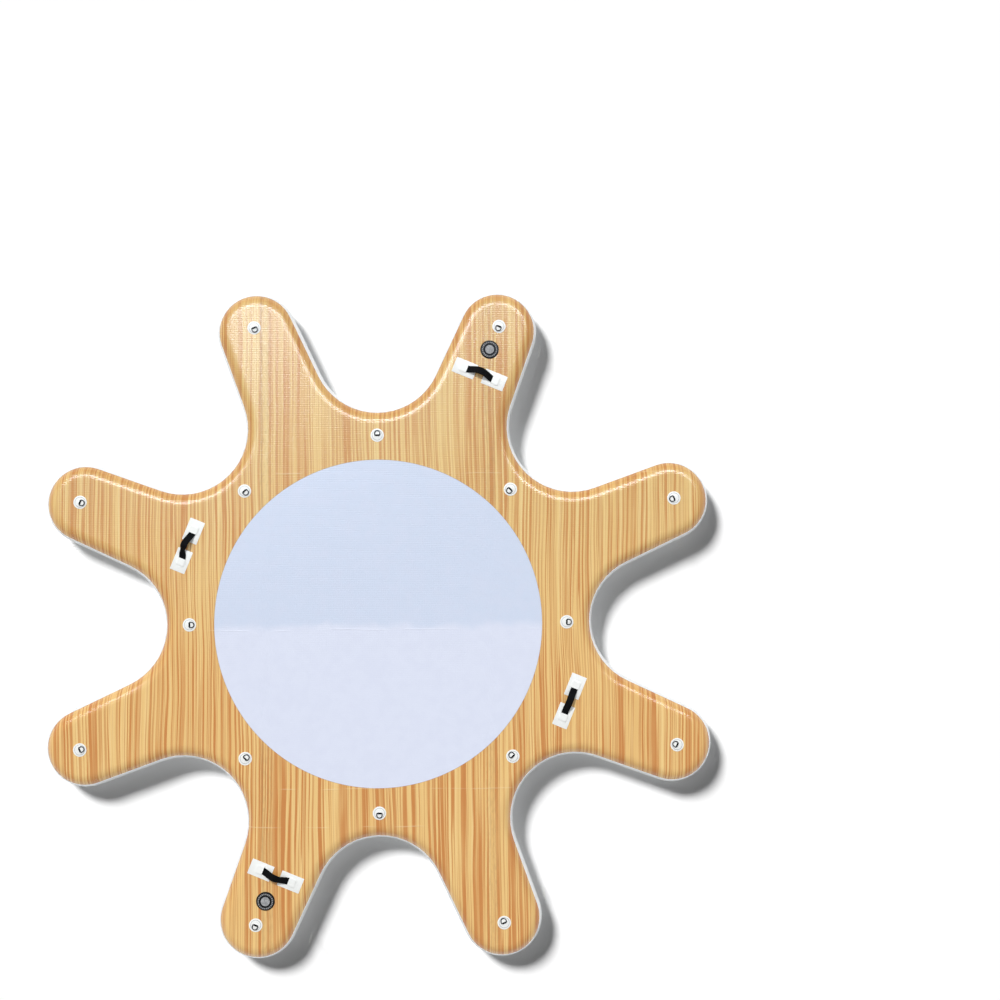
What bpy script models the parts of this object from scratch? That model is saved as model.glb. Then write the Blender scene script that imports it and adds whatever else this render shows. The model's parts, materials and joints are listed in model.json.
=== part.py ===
"""Eight-armed inflatable dock platform: an air body with ring patches, carry handles and air valves.

Lengths are in metres and +Z is up. The origin is in the middle of the underside, on the ground.
Run it with: blender --background --python part.py
"""

import math

import bmesh
import bpy
from mathutils import Matrix, Vector

# Fits that several pieces share
SEAT_GAP = 0.0003
RUNNING_CLEARANCE = 0.0004
JOIN_DEPTH = 0.0004
CUT_OVERRUN = 0.004
MERGE_DISTANCE = 0.000001

# Air body: a star with round tips and round valleys between its arms
ARM_COUNT = 8
TIP_REACH = 1.525
TIP_RADIUS = 0.171
VALLEY_REACH = 0.914
VALLEY_RADIUS = 0.268
BODY_THICKNESS = 0.150
SIDE_BULGE = 0.060
SKIN_WALL = 0.0015
TIP_STEPS = 7
VALLEY_STEPS = 6
SHOULDER_STEPS = 3
PRINT_DISC_RADIUS = 0.698

# Rail band round the side, lapped over the edges of both skins
RAIL_WALL = 0.0015
RAIL_HEIGHT = 0.086
RAIL_LAP = 0.014

# Drop-stitch core: two cloths held apart by rows of threads, each row drawn as one thin wall
CLOTH_WALL = 0.0015
THREAD_ROW_PITCH = 0.100
THREAD_ROW_WALL = 0.003

# Seam tapes welded along the underside
SEAM_TAPE_TO_VALLEY = 0.0898
SEAM_TAPE_WIDTH = 0.050
SEAM_TAPE_WALL = 0.0008
SEAM_TAPE_MARGIN = 0.002

# Ring patches: a round two-layer patch, and a sleeve that holds the straight bar of a D-ring
TIP_RING_INSET = 0.153
VALLEY_RING_INSET = 0.111
PATCH_RADIUS = 0.0285
PATCH_WALL = 0.0012
PATCH_TOP_RADIUS = 0.0205
PATCH_TOP_WALL = 0.0010
PATCH_STEPS = 14
SLEEVE_LENGTH = 0.012
SLEEVE_WALL = 0.0012
SLEEVE_STEPS = 4

# D-rings: round steel wire with one straight bar
RING_WIRE_RADIUS = 0.002
RING_WIDTH = 0.0270
RING_DEPTH = 0.0235
RING_CORNER_RADIUS = 0.003
RING_ARCH_STEPS = 6

# Arms and valleys whose ring lies with its arch outwards; the others lie towards the middle
TIPS_WITH_RING_OUTWARDS = (6,)
VALLEYS_WITH_RING_OUTWARDS = (1, 3, 7)

# Carry handles: one webbing strap between two patches, across the arm
OUTER_HANDLE_INSET = 0.375
INNER_HANDLE_INSET = 0.036
HANDLE_PATCH_LENGTH = 0.099
HANDLE_PATCH_WIDTH = 0.0665
HANDLE_PATCH_WALL = 0.0012
HANDLE_PATCH_SPACING = 0.036
POCKET_INSET = 0.040
POCKET_LENGTH = 0.028
POCKET_WALL = 0.0012
STRAP_WIDTH = 0.027
STRAP_WALL = 0.0024
STRAP_RISE = 0.028
STRAP_STEPS = 8
OUTER_RIGHT_STRAP_LEAN = 0.013
INNER_LEFT_STRAP_LEAN = 0.018
INNER_RIGHT_STRAP_LEAN = 0.001
OUTER_LEFT_STRAP_LEAN = 0.010

# Air valves: a flanged body screwed to a nut through the deck, a sprung poppet and a cap
VALVE_INSET = 0.261
FLANGE_RADIUS = 0.0395
FLANGE_WALL = 0.0030
FLANGE_CHAMFER = 0.0012
BARREL_RADIUS = 0.0270
BARREL_WALL = 0.0030
BARREL_DEPTH = 0.040
VALVE_FLOOR_WALL = 0.003
AIR_HOLE_RADIUS = 0.0040
AIR_HOLE_PLACE = 0.0100
AIR_HOLE_COUNT = 6
AIR_HOLE_STEPS = 6
VALVE_STEPS = 20
NUT_RADIUS = 0.0348
NUT_WALL = 0.0025
NUT_HUB_RADIUS = 0.0315
NUT_HUB_HEIGHT = 0.0070
VALVE_POCKET_SIDE_CLEARANCE = 0.0012
VALVE_POCKET_DEPTH_CLEARANCE = 0.006
POPPET_RADIUS = 0.0175
POPPET_WALL = 0.0030
POPPET_STEM_RADIUS = 0.0030
POPPET_TRAVEL = 0.006
POPPET_STEPS = 12
BUTTON_RADIUS = 0.0085
BUTTON_WALL = 0.0030
SPRING_LENGTH = 0.017
SPRING_RADIUS = 0.0060
SPRING_WIRE_RADIUS = 0.0006
SPRING_COILS = 5
SPRING_POINTS_PER_COIL = 9
CAP_RADIUS = 0.0330
CAP_WALL = 0.0030
CAP_DOME_RADIUS = 0.0205
CAP_DOME_RISE = 0.0016
CAP_PLUG_WALL = 0.0025
CAP_PLUG_DEPTH = 0.010

# Distances from the middle, which follow from the reach of the tips and of the valleys
HALF_ARM_ANGLE = math.pi / ARM_COUNT
TIP_RING_PLACE = TIP_REACH - TIP_RING_INSET
VALLEY_RING_PLACE = VALLEY_REACH - VALLEY_RING_INSET
OUTER_HANDLE_PLACE = TIP_REACH - OUTER_HANDLE_INSET
INNER_HANDLE_PLACE = VALLEY_REACH - INNER_HANDLE_INSET
VALVE_PLACE = TIP_REACH - VALVE_INSET
DIAGONAL_VALLEY_EDGE = (VALLEY_REACH + VALLEY_RADIUS) * math.cos(2 * HALF_ARM_ANGLE) - VALLEY_RADIUS
SEAM_TAPE_OFFSET = DIAGONAL_VALLEY_EDGE - SEAM_TAPE_TO_VALLEY

# Heights that follow from the sizes above
BASE_HEIGHT = SEAM_TAPE_WALL + SEAT_GAP
MIDDLE_HEIGHT = BASE_HEIGHT + BODY_THICKNESS / 2
DECK_HEIGHT = BASE_HEIGHT + BODY_THICKNESS
CORE_TOP = DECK_HEIGHT - SKIN_WALL - SEAT_GAP
CORE_BOTTOM = BASE_HEIGHT + SKIN_WALL + SEAT_GAP
FLAT_INSET = SIDE_BULGE + SEAT_GAP + RAIL_WALL
SLEEVE_BORE_RADIUS = RING_WIRE_RADIUS + RUNNING_CLEARANCE
RING_BAR_HEIGHT = PATCH_WALL + PATCH_TOP_WALL + RUNNING_CLEARANCE + RING_WIRE_RADIUS
NUT_TOP = CORE_TOP - DECK_HEIGHT - CLOTH_WALL - SEAT_GAP
NUT_BOTTOM = NUT_TOP - NUT_HUB_HEIGHT
RIGHT_ANGLE = math.pi / 2
FULL_TURN = 2 * math.pi
SHARP_ANGLE = math.radians(35)


def clear_scene():
    """Removes whatever the scene held before."""
    for old in list(bpy.data.objects):
        bpy.data.objects.remove(old)


def material(name, colour, roughness, metallic=0.0):
    """A plain material of one colour."""
    made = bpy.data.materials.new(name)
    made.use_nodes = True
    shader = made.node_tree.nodes["Principled BSDF"]
    shader.inputs["Base Color"].default_value = (*colour, 1.0)
    shader.inputs["Roughness"].default_value = roughness
    shader.inputs["Metallic"].default_value = metallic
    made.diffuse_color = (*colour, 1.0)
    return made


def finish_mesh(made, name, materials):
    """Turns a bmesh into a mesh with outward faces and soft shading on its round stretches."""
    bmesh.ops.recalc_face_normals(made, faces=made.faces)
    mesh = bpy.data.meshes.new(name)
    made.to_mesh(mesh)
    made.free()
    for used in materials:
        mesh.materials.append(used)
    mesh.shade_smooth()
    mesh.set_sharp_from_angle(angle=SHARP_ANGLE)
    return mesh


def place(name, mesh, at=(0, 0, 0), turn=0.0):
    """Puts a mesh or a curve in the scene as one named object, turned about Z."""
    made = bpy.data.objects.new(name, mesh)
    made.location = at
    made.rotation_euler = (0, 0, turn)
    bpy.context.scene.collection.objects.link(made)
    return made


def as_cutter(made):
    """Marks an object as a helper that isn't part of the platform."""
    made.hide_render = True
    made.display_type = "WIRE"
    return made


def combine(target, helper, operation):
    """Adds a Boolean to the target, which cuts or joins the helper."""
    step = target.modifiers.new(operation.lower(), "BOOLEAN")
    step.operation = operation
    step.solver = "EXACT"
    step.object = as_cutter(helper)


def baked_mesh(made):
    """The object's mesh with its modifiers applied. The object and its helpers are removed."""
    helpers = [step.object for step in made.modifiers]
    graph = bpy.context.evaluated_depsgraph_get()
    mesh = bpy.data.meshes.new_from_object(made.evaluated_get(graph))
    for used in [made] + helpers:
        bpy.data.objects.remove(used)
    return mesh


def shade_flat_faces():
    """Keeps large flat faces looking flat beside the round stretches that they run into."""
    for made in bpy.data.objects:
        if made.type == "MESH" and not made.hide_render:
            made.modifiers.new("flat_faces", "WEIGHTED_NORMAL").keep_sharp = True


def box_mesh(name, low, high, materials):
    """A box between two corners."""
    made = bmesh.new()
    bmesh.ops.create_cube(made, size=1)
    size = Vector(high) - Vector(low)
    bmesh.ops.scale(made, vec=size, verts=made.verts)
    bmesh.ops.translate(made, vec=Vector(low) + size / 2, verts=made.verts)
    return finish_mesh(made, name, materials)


def turned_mesh(name, profile, steps, materials):
    """A mesh turned about Z from (radius, height) points. A loop off the axis is closed by itself."""
    made = bmesh.new()
    rim = [made.verts.new((radius, 0, height)) for radius, height in profile]
    edges = [made.edges.new(pair) for pair in zip(rim, rim[1:])]
    if profile[0][0] > 0:
        edges.append(made.edges.new((rim[-1], rim[0])))
    bmesh.ops.spin(
        made, geom=rim + edges, cent=(0, 0, 0), axis=(0, 0, 1), angle=FULL_TURN, steps=steps, use_merge=True
    )
    bmesh.ops.remove_doubles(made, verts=made.verts, dist=MERGE_DISTANCE)
    return finish_mesh(made, name, materials)


def cylinder_mesh(name, radius, low, high, steps, materials):
    """A round bar along Z."""
    return turned_mesh(name, [(0, low), (radius, low), (radius, high), (0, high)], steps, materials)


def polar(distance, angle):
    """A point on the ground at this distance and direction from the middle."""
    return Vector((distance * math.cos(angle), distance * math.sin(angle), 0))


def arm_angle(arm):
    """Direction of an arm. Arm 1 lies just above +X, and the rest follow anticlockwise."""
    return (2 * arm - 1) * HALF_ARM_ANGLE


def valley_angle(valley):
    """Direction of a valley. Valley 1 lies along +X, before arm 1."""
    return 2 * (valley - 1) * HALF_ARM_ANGLE


def flank_angle():
    """Angle from an arm's axis to the outward normal of its straight flank."""
    tip = polar(TIP_REACH - TIP_RADIUS, 0)
    valley = polar(VALLEY_REACH + VALLEY_RADIUS, HALF_ARM_ANGLE)
    span = valley - tip
    lean = math.acos((TIP_RADIUS + VALLEY_RADIUS) / span.length)
    return math.atan2(span.y, span.x) - lean


def star_outline(inset):
    """Points of the star, drawn inwards from the outermost edge by the inset."""
    flank = flank_angle()
    points = []
    for arm in range(1, ARM_COUNT + 1):
        axis = arm_angle(arm)
        tip = polar(TIP_REACH - TIP_RADIUS, axis)
        for step in range(TIP_STEPS + 1):
            angle = axis - flank + 2 * flank * step / TIP_STEPS
            points.append(tip + polar(TIP_RADIUS - inset, angle))
        valley = polar(VALLEY_REACH + VALLEY_RADIUS, axis + HALF_ARM_ANGLE)
        spread = 2 * (flank - HALF_ARM_ANGLE)
        for step in range(VALLEY_STEPS + 1):
            angle = axis + flank + math.pi - spread * step / VALLEY_STEPS
            points.append(valley + polar(VALLEY_RADIUS + inset, angle))
    return points


def add_ring(made, points, height):
    """Adds one loose loop of points at a height."""
    return [made.verts.new((point.x, point.y, height)) for point in points]


def side_ring(made, layer, angle):
    """Loop of points on the side of the body, this far outside the skins' face and up the bulge."""
    inset = FLAT_INSET - (SIDE_BULGE + layer) * math.cos(angle)
    height = MIDDLE_HEIGHT + (BODY_THICKNESS / 2 + layer) * math.sin(angle)
    return add_ring(made, star_outline(inset), height)


def bridge(made, rings):
    """Joins each loop of points to the next with a strip of faces."""
    for first, second in zip(rings, rings[1:]):
        for step in range(len(first)):
            after = (step + 1) % len(first)
            made.faces.new((first[step], first[after], second[after], second[step]))


def height_angle(height):
    """Angle up the bulge at which the skins reach this height above the middle."""
    return math.asin(height / (BODY_THICKNESS / 2))


def skin_rings(made, side):
    """Loops of a skin from its flat face round the shoulder, under the rail, and back inside."""
    rail_edge = height_angle(RAIL_HEIGHT / 2)
    skin_edge = height_angle(RAIL_HEIGHT / 2 - RAIL_LAP)
    fall = (RIGHT_ANGLE - rail_edge) / SHOULDER_STEPS
    angles = [RIGHT_ANGLE - fall * step for step in range(SHOULDER_STEPS + 1)] + [skin_edge]
    outer = [side_ring(made, 0, side * angle) for angle in angles]
    inner = [side_ring(made, -SKIN_WALL, side * angle) for angle in reversed(angles)]
    return outer + inner


def deck_skin(wood, print_disc):
    """Printed top skin, with the round print in its middle and a hole for each valve."""
    made = bmesh.new()
    rings = skin_rings(made, 1)
    bridge(made, rings)
    disc = [point.normalized() * PRINT_DISC_RADIUS for point in star_outline(0)]
    disc_ring = add_ring(made, disc, DECK_HEIGHT)
    bridge(made, [disc_ring, rings[0]])
    made.faces.new(disc_ring).material_index = 1
    made.faces.new(rings[-1])
    skin = place("deck_skin", finish_mesh(made, "deck_skin", [wood, print_disc]))
    for number, at in enumerate(valve_places(), 1):
        hole = valve_hole(f"deck_hole_{number}", BARREL_RADIUS + RUNNING_CLEARANCE, at)
        combine(skin, hole, "DIFFERENCE")


def bottom_skin(white):
    """Plain underside skin."""
    made = bmesh.new()
    rings = skin_rings(made, -1)
    bridge(made, rings)
    made.faces.new(rings[0])
    made.faces.new(rings[-1])
    place("bottom_skin", finish_mesh(made, "bottom_skin", [white]))


def rail_band(white):
    """Band round the side, lapped over both skins."""
    made = bmesh.new()
    rail_edge = height_angle(RAIL_HEIGHT / 2)
    skin_edge = height_angle(RAIL_HEIGHT / 2 - RAIL_LAP)
    angles = [rail_edge, skin_edge, 0, -skin_edge, -rail_edge]
    outer = [side_ring(made, SEAT_GAP + RAIL_WALL, angle) for angle in angles]
    inner = [side_ring(made, SEAT_GAP, angle) for angle in reversed(angles)]
    bridge(made, outer + inner + [outer[0]])
    place("rail_band", finish_mesh(made, "rail_band", [white]))


def star_prism(name, inset, low, high, materials):
    """An upright prism on the star outline."""
    made = bmesh.new()
    outline = star_outline(inset)
    rings = [add_ring(made, outline, low), add_ring(made, outline, high)]
    bridge(made, rings)
    made.faces.new(rings[0])
    made.faces.new(rings[1])
    return finish_mesh(made, name, materials)


def drop_stitch_core(cloth):
    """Two cloths joined by thread rows, open at the rim, with a pocket round each valve."""
    slab = star_prism("drop_stitch_core", FLAT_INSET, CORE_BOTTOM, CORE_TOP, [cloth])
    core = place("drop_stitch_core", slab)
    low = CORE_BOTTOM + CLOTH_WALL
    high = CORE_TOP - CLOTH_WALL
    rows = math.ceil(TIP_REACH / THREAD_ROW_PITCH)
    made = bmesh.new()
    for row in range(-rows, rows):
        left = row * THREAD_ROW_PITCH + THREAD_ROW_WALL / 2
        size = Vector((THREAD_ROW_PITCH - THREAD_ROW_WALL, 2 * TIP_REACH, high - low))
        centre = Vector((left + size.x / 2, 0, (low + high) / 2))
        cube = bmesh.ops.create_cube(made, size=1)["verts"]
        bmesh.ops.scale(made, vec=size, verts=cube)
        bmesh.ops.translate(made, vec=centre, verts=cube)
    combine(core, place("thread_row_spaces", finish_mesh(made, "thread_row_spaces", [cloth])), "DIFFERENCE")
    pocket_low = DECK_HEIGHT - BARREL_DEPTH - POPPET_WALL - POPPET_TRAVEL - VALVE_POCKET_DEPTH_CLEARANCE
    radius = NUT_RADIUS + VALVE_POCKET_SIDE_CLEARANCE
    pocket = cylinder_mesh("valve_pocket", radius, pocket_low, high, VALVE_STEPS, [cloth])
    for number, at in enumerate(valve_places(), 1):
        combine(core, place(f"valve_pocket_{number}", pocket, (at.x, at.y, 0)), "DIFFERENCE")
        hole = valve_hole(f"core_hole_{number}", BARREL_RADIUS + RUNNING_CLEARANCE, at)
        combine(core, hole, "DIFFERENCE")


def seam_tapes(white):
    """Two tapes along the underside, cut to the length of its flat face."""
    outline = star_prism("tape_area", FLAT_INSET + SEAM_TAPE_MARGIN, -CUT_OVERRUN, BASE_HEIGHT, [white])
    for name, side in (("seam_tape_left", -1), ("seam_tape_right", 1)):
        middle = side * SEAM_TAPE_OFFSET
        low = (middle - SEAM_TAPE_WIDTH / 2, -TIP_REACH, 0)
        high = (middle + SEAM_TAPE_WIDTH / 2, TIP_REACH, SEAM_TAPE_WALL)
        tape = place(name, box_mesh(name, low, high, [white]))
        combine(tape, place(f"{name}_area", outline), "INTERSECT")


def ring_patch_mesh(white):
    """Round patch of two layers with the sleeve that holds the ring's bar along X."""
    top = PATCH_WALL + PATCH_TOP_WALL
    profile = [
        (0, 0),
        (PATCH_RADIUS, 0),
        (PATCH_RADIUS, PATCH_WALL),
        (PATCH_TOP_RADIUS, PATCH_WALL),
        (PATCH_TOP_RADIUS, top),
        (0, top),
    ]
    patch = place("patch_blank", turned_mesh("patch_blank", profile, PATCH_STEPS, [white]))
    combine(patch, place("sleeve", sleeve_mesh(white)), "UNION")
    return baked_mesh(patch)


def arch_point(radius, turn):
    """A point across the ring's bar, at this distance from its axis."""
    return (radius * math.cos(turn), RING_BAR_HEIGHT + radius * math.sin(turn))


def sleeve_mesh(white):
    """An arch over the ring's bar, with its feet sunk into the patch."""
    foot = PATCH_WALL + PATCH_TOP_WALL - JOIN_DEPTH
    outer_radius = SLEEVE_BORE_RADIUS + SLEEVE_WALL
    turns = [math.pi * step / SLEEVE_STEPS for step in range(SLEEVE_STEPS + 1)]
    outer = [arch_point(outer_radius, turn) for turn in turns]
    inner = [arch_point(SLEEVE_BORE_RADIUS, turn) for turn in reversed(turns)]
    section = [(outer_radius, foot)] + outer + [(-outer_radius, foot), (-SLEEVE_BORE_RADIUS, foot)]
    section += inner + [(SLEEVE_BORE_RADIUS, foot)]
    made = bmesh.new()
    end = made.faces.new([made.verts.new((-SLEEVE_LENGTH / 2, across, up)) for across, up in section])
    grown = bmesh.ops.extrude_face_region(made, geom=[end])["geom"]
    moved = [item for item in grown if isinstance(item, bmesh.types.BMVert)]
    bmesh.ops.translate(made, vec=(SLEEVE_LENGTH, 0, 0), verts=moved)
    return finish_mesh(made, "sleeve", [white])


def ring_curve(steel):
    """Closed wire of a D-ring. Its bar lies on X through the origin, and its arch reaches along +Y."""
    half = RING_WIDTH / 2 - RING_WIRE_RADIUS
    depth = RING_DEPTH - 2 * RING_WIRE_RADIUS
    shoulder = depth - half
    corner = RING_CORNER_RADIUS
    cut = corner * (1 - math.cos(RIGHT_ANGLE / 2))
    arch = [math.pi * step / RING_ARCH_STEPS for step in range(RING_ARCH_STEPS + 1)]
    points = [(corner - half, 0), (half - corner, 0), (half - cut, cut)]
    points += [(half * math.cos(turn), shoulder + half * math.sin(turn)) for turn in arch]
    points += [(cut - half, cut)]
    curve = bpy.data.curves.new("d_ring", "CURVE")
    curve.dimensions = "3D"
    curve.bevel_depth = RING_WIRE_RADIUS
    curve.bevel_resolution = 1
    spline = curve.splines.new("POLY")
    spline.points.add(len(points) - 1)
    for point, (across, along) in zip(spline.points, points):
        point.co = (across, along, 0, 1)
    spline.use_cyclic_u = True
    curve.materials.append(steel)
    return curve


def ring_set(name, mesh, curve, distance, angle, outwards):
    """One ring and its patch, on the deck. The ring's origin is on its bar, which it turns about."""
    at = polar(distance, angle)
    turn = angle - RIGHT_ANGLE if outwards else angle + RIGHT_ANGLE
    seat = DECK_HEIGHT + SEAT_GAP
    place(f"{name}_patch", mesh, (at.x, at.y, seat), turn)
    place(name, curve, (at.x, at.y, seat + RING_BAR_HEIGHT), turn)


def d_rings(white, steel):
    """A ring near each tip and one above each valley."""
    mesh = ring_patch_mesh(white)
    curve = ring_curve(steel)
    for number in range(1, ARM_COUNT + 1):
        outwards = number in TIPS_WITH_RING_OUTWARDS
        ring_set(f"tip_ring_{number}", mesh, curve, TIP_RING_PLACE, arm_angle(number), outwards)
        outwards = number in VALLEYS_WITH_RING_OUTWARDS
        ring_set(f"valley_ring_{number}", mesh, curve, VALLEY_RING_PLACE, valley_angle(number), outwards)


def handle_patch_mesh(white):
    """A flat patch whose inner edge is at x = 0, with a pocket that holds one end of the strap."""
    half = HANDLE_PATCH_WIDTH / 2
    plate_top = HANDLE_PATCH_WALL
    slot_top = plate_top + STRAP_WALL + 2 * SEAT_GAP
    slot_half = STRAP_WIDTH / 2 + SEAT_GAP
    slot_end = POCKET_INSET + POCKET_LENGTH + SEAT_GAP
    wall = POCKET_WALL
    plate = place("plate", box_mesh("plate", (0, -half, 0), (HANDLE_PATCH_LENGTH, half, plate_top), [white]))
    low = (POCKET_INSET, -slot_half - wall, plate_top - JOIN_DEPTH)
    high = (slot_end + wall, slot_half + wall, slot_top + wall)
    combine(plate, place("pocket", box_mesh("pocket", low, high, [white])), "UNION")
    low = (POCKET_INSET - CUT_OVERRUN, -slot_half, plate_top)
    high = (slot_end, slot_half, slot_top)
    combine(plate, place("slot", box_mesh("slot", low, high, [white])), "DIFFERENCE")
    return baked_mesh(plate)


def strap_mesh(name, lean, webbing):
    """Flat webbing from one pocket to the other. It arches up, and leans outwards along +Y."""
    mouth = HANDLE_PATCH_SPACING / 2 + POCKET_INSET
    rest = HANDLE_PATCH_WALL + SEAT_GAP + STRAP_WALL / 2
    tilt = math.atan2(lean, STRAP_RISE)
    stations = [(-mouth - POCKET_LENGTH, 0.0)]
    for step in range(STRAP_STEPS + 1):
        along = 2 * step / STRAP_STEPS - 1
        stations.append((mouth * along, (1 + math.cos(math.pi * along)) / 2))
    stations.append((mouth + POCKET_LENGTH, 0.0))
    made = bmesh.new()
    rings = []
    for along, share in stations:
        centre = Vector((along, lean * share, rest + STRAP_RISE * share))
        turn = Matrix.Rotation(-tilt * share, 3, "X")
        across = turn @ Vector((0, STRAP_WIDTH / 2, 0))
        up = turn @ Vector((0, 0, STRAP_WALL / 2))
        corners = (centre + across + up, centre - across + up, centre - across - up, centre + across - up)
        rings.append([made.verts.new(corner) for corner in corners])
    bridge(made, rings)
    made.faces.new(rings[0])
    made.faces.new(rings[-1])
    return finish_mesh(made, name, [webbing])


def handles(white, webbing):
    """Four handles: two outside the valves' arms' middle, and two nearer the round print."""
    patch = handle_patch_mesh(white)
    seat = DECK_HEIGHT + SEAT_GAP
    table = (
        ("handle_outer_right", 2, OUTER_HANDLE_PLACE, OUTER_RIGHT_STRAP_LEAN),
        ("handle_inner_left", 4, INNER_HANDLE_PLACE, INNER_LEFT_STRAP_LEAN),
        ("handle_inner_right", 8, INNER_HANDLE_PLACE, INNER_RIGHT_STRAP_LEAN),
        ("handle_outer_left", 6, OUTER_HANDLE_PLACE, OUTER_LEFT_STRAP_LEAN),
    )
    for name, arm, distance, lean in table:
        angle = arm_angle(arm)
        turn = angle - RIGHT_ANGLE
        at = polar(distance, angle)
        place(f"{name}_strap", strap_mesh(f"{name}_strap", lean, webbing), (at.x, at.y, seat), turn)
        for side, facing in (("a", 0.0), ("b", math.pi)):
            edge = at + polar(HANDLE_PATCH_SPACING / 2, turn + facing)
            place(f"{name}_patch_{side}", patch, (edge.x, edge.y, seat), turn + facing)


def valve_places():
    """The two valves, on opposite arms."""
    return [polar(VALVE_PLACE, arm_angle(2)), polar(VALVE_PLACE, arm_angle(6))]


def valve_hole(name, radius, at):
    """Round cutter through the deck skin and the top cloth."""
    low = CORE_TOP - CLOTH_WALL - CUT_OVERRUN
    mesh = cylinder_mesh(name, radius, low, DECK_HEIGHT + CUT_OVERRUN, VALVE_STEPS, [])
    return place(name, mesh, (at.x, at.y, 0))


def valve_body_mesh(black):
    """Flange, barrel and floor, with a bore for the stem and air holes round it. Z = 0 is the deck."""
    flange_top = SEAT_GAP + FLANGE_WALL
    floor_top = VALVE_FLOOR_WALL - BARREL_DEPTH
    bore = POPPET_STEM_RADIUS + RUNNING_CLEARANCE
    mouth = BARREL_RADIUS - BARREL_WALL
    profile = [
        (bore, floor_top),
        (mouth, floor_top),
        (mouth, flange_top),
        (FLANGE_RADIUS - FLANGE_CHAMFER, flange_top),
        (FLANGE_RADIUS, flange_top - FLANGE_CHAMFER),
        (FLANGE_RADIUS, SEAT_GAP),
        (BARREL_RADIUS, SEAT_GAP),
        (BARREL_RADIUS, -BARREL_DEPTH),
        (bore, -BARREL_DEPTH),
    ]
    body = place("valve_blank", turned_mesh("valve_blank", profile, VALVE_STEPS, [black]))
    low = -BARREL_DEPTH - CUT_OVERRUN
    high = floor_top + CUT_OVERRUN
    hole = cylinder_mesh("air_hole", AIR_HOLE_RADIUS, low, high, AIR_HOLE_STEPS, [black])
    for number in range(AIR_HOLE_COUNT):
        at = polar(AIR_HOLE_PLACE, FULL_TURN * number / AIR_HOLE_COUNT)
        combine(body, place(f"air_hole_{number}", hole, at), "DIFFERENCE")
    return baked_mesh(body)


def valve_nut_mesh(black):
    """Flanged nut under the top cloth, screwed on the barrel."""
    bore = BARREL_RADIUS + SEAT_GAP
    profile = [
        (bore, NUT_TOP),
        (NUT_RADIUS, NUT_TOP),
        (NUT_RADIUS, NUT_TOP - NUT_WALL),
        (NUT_HUB_RADIUS, NUT_TOP - NUT_WALL),
        (NUT_HUB_RADIUS, NUT_BOTTOM),
        (bore, NUT_BOTTOM),
    ]
    return turned_mesh("valve_nut", profile, VALVE_STEPS, [black])


def poppet_mesh(white):
    """Sealing disc under the floor, stem through its bore, and the button that is pressed."""
    disc_top = -BARREL_DEPTH - SEAT_GAP
    button_low = VALVE_FLOOR_WALL - BARREL_DEPTH + SPRING_LENGTH
    profile = [
        (0, disc_top - POPPET_WALL),
        (POPPET_RADIUS, disc_top - POPPET_WALL),
        (POPPET_RADIUS, disc_top),
        (POPPET_STEM_RADIUS, disc_top),
        (POPPET_STEM_RADIUS, button_low),
        (BUTTON_RADIUS, button_low),
        (BUTTON_RADIUS, button_low + BUTTON_WALL),
        (0, button_low + BUTTON_WALL),
    ]
    return turned_mesh("poppet", profile, POPPET_STEPS, [white])


def spring_curve(steel):
    """Open coil round the stem, from the floor of the valve to the button."""
    low = VALVE_FLOOR_WALL - BARREL_DEPTH + SEAT_GAP + SPRING_WIRE_RADIUS
    rise = SPRING_LENGTH - 2 * SEAT_GAP - 2 * SPRING_WIRE_RADIUS
    count = SPRING_COILS * SPRING_POINTS_PER_COIL
    curve = bpy.data.curves.new("valve_spring", "CURVE")
    curve.dimensions = "3D"
    curve.bevel_depth = SPRING_WIRE_RADIUS
    curve.bevel_resolution = 0
    curve.use_fill_caps = True
    spline = curve.splines.new("POLY")
    spline.points.add(count)
    for step, point in enumerate(spline.points):
        at = polar(SPRING_RADIUS, FULL_TURN * step / SPRING_POINTS_PER_COIL)
        point.co = (at.x, at.y, low + rise * step / count, 1)
    curve.materials.append(steel)
    return curve


def cap_mesh(grey):
    """Round cap with a low dome in its middle and a hollow plug that seals the mouth."""
    under = 2 * SEAT_GAP + FLANGE_WALL
    top = under + CAP_WALL
    plug = BARREL_RADIUS - BARREL_WALL - SEAT_GAP
    plug_low = under - CAP_PLUG_DEPTH
    profile = [
        (0, under),
        (plug - CAP_PLUG_WALL, under),
        (plug - CAP_PLUG_WALL, plug_low),
        (plug, plug_low),
        (plug, under),
        (CAP_RADIUS, under),
        (CAP_RADIUS, top),
        (CAP_DOME_RADIUS, top),
        (CAP_DOME_RADIUS - CAP_DOME_RISE, top + CAP_DOME_RISE),
        (0, top + CAP_DOME_RISE),
    ]
    return turned_mesh("valve_cap", profile, VALVE_STEPS, [grey])


def valves(black, grey, white, steel):
    """Two valves, each of a body, a nut, a sprung poppet and a cap."""
    pieces = {
        "body": valve_body_mesh(black),
        "nut": valve_nut_mesh(black),
        "poppet": poppet_mesh(white),
        "spring": spring_curve(steel),
        "cap": cap_mesh(grey),
    }
    for number, at in enumerate(valve_places(), 1):
        for piece, mesh in pieces.items():
            place(f"valve_{number}_{piece}", mesh, (at.x, at.y, DECK_HEIGHT))


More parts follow.
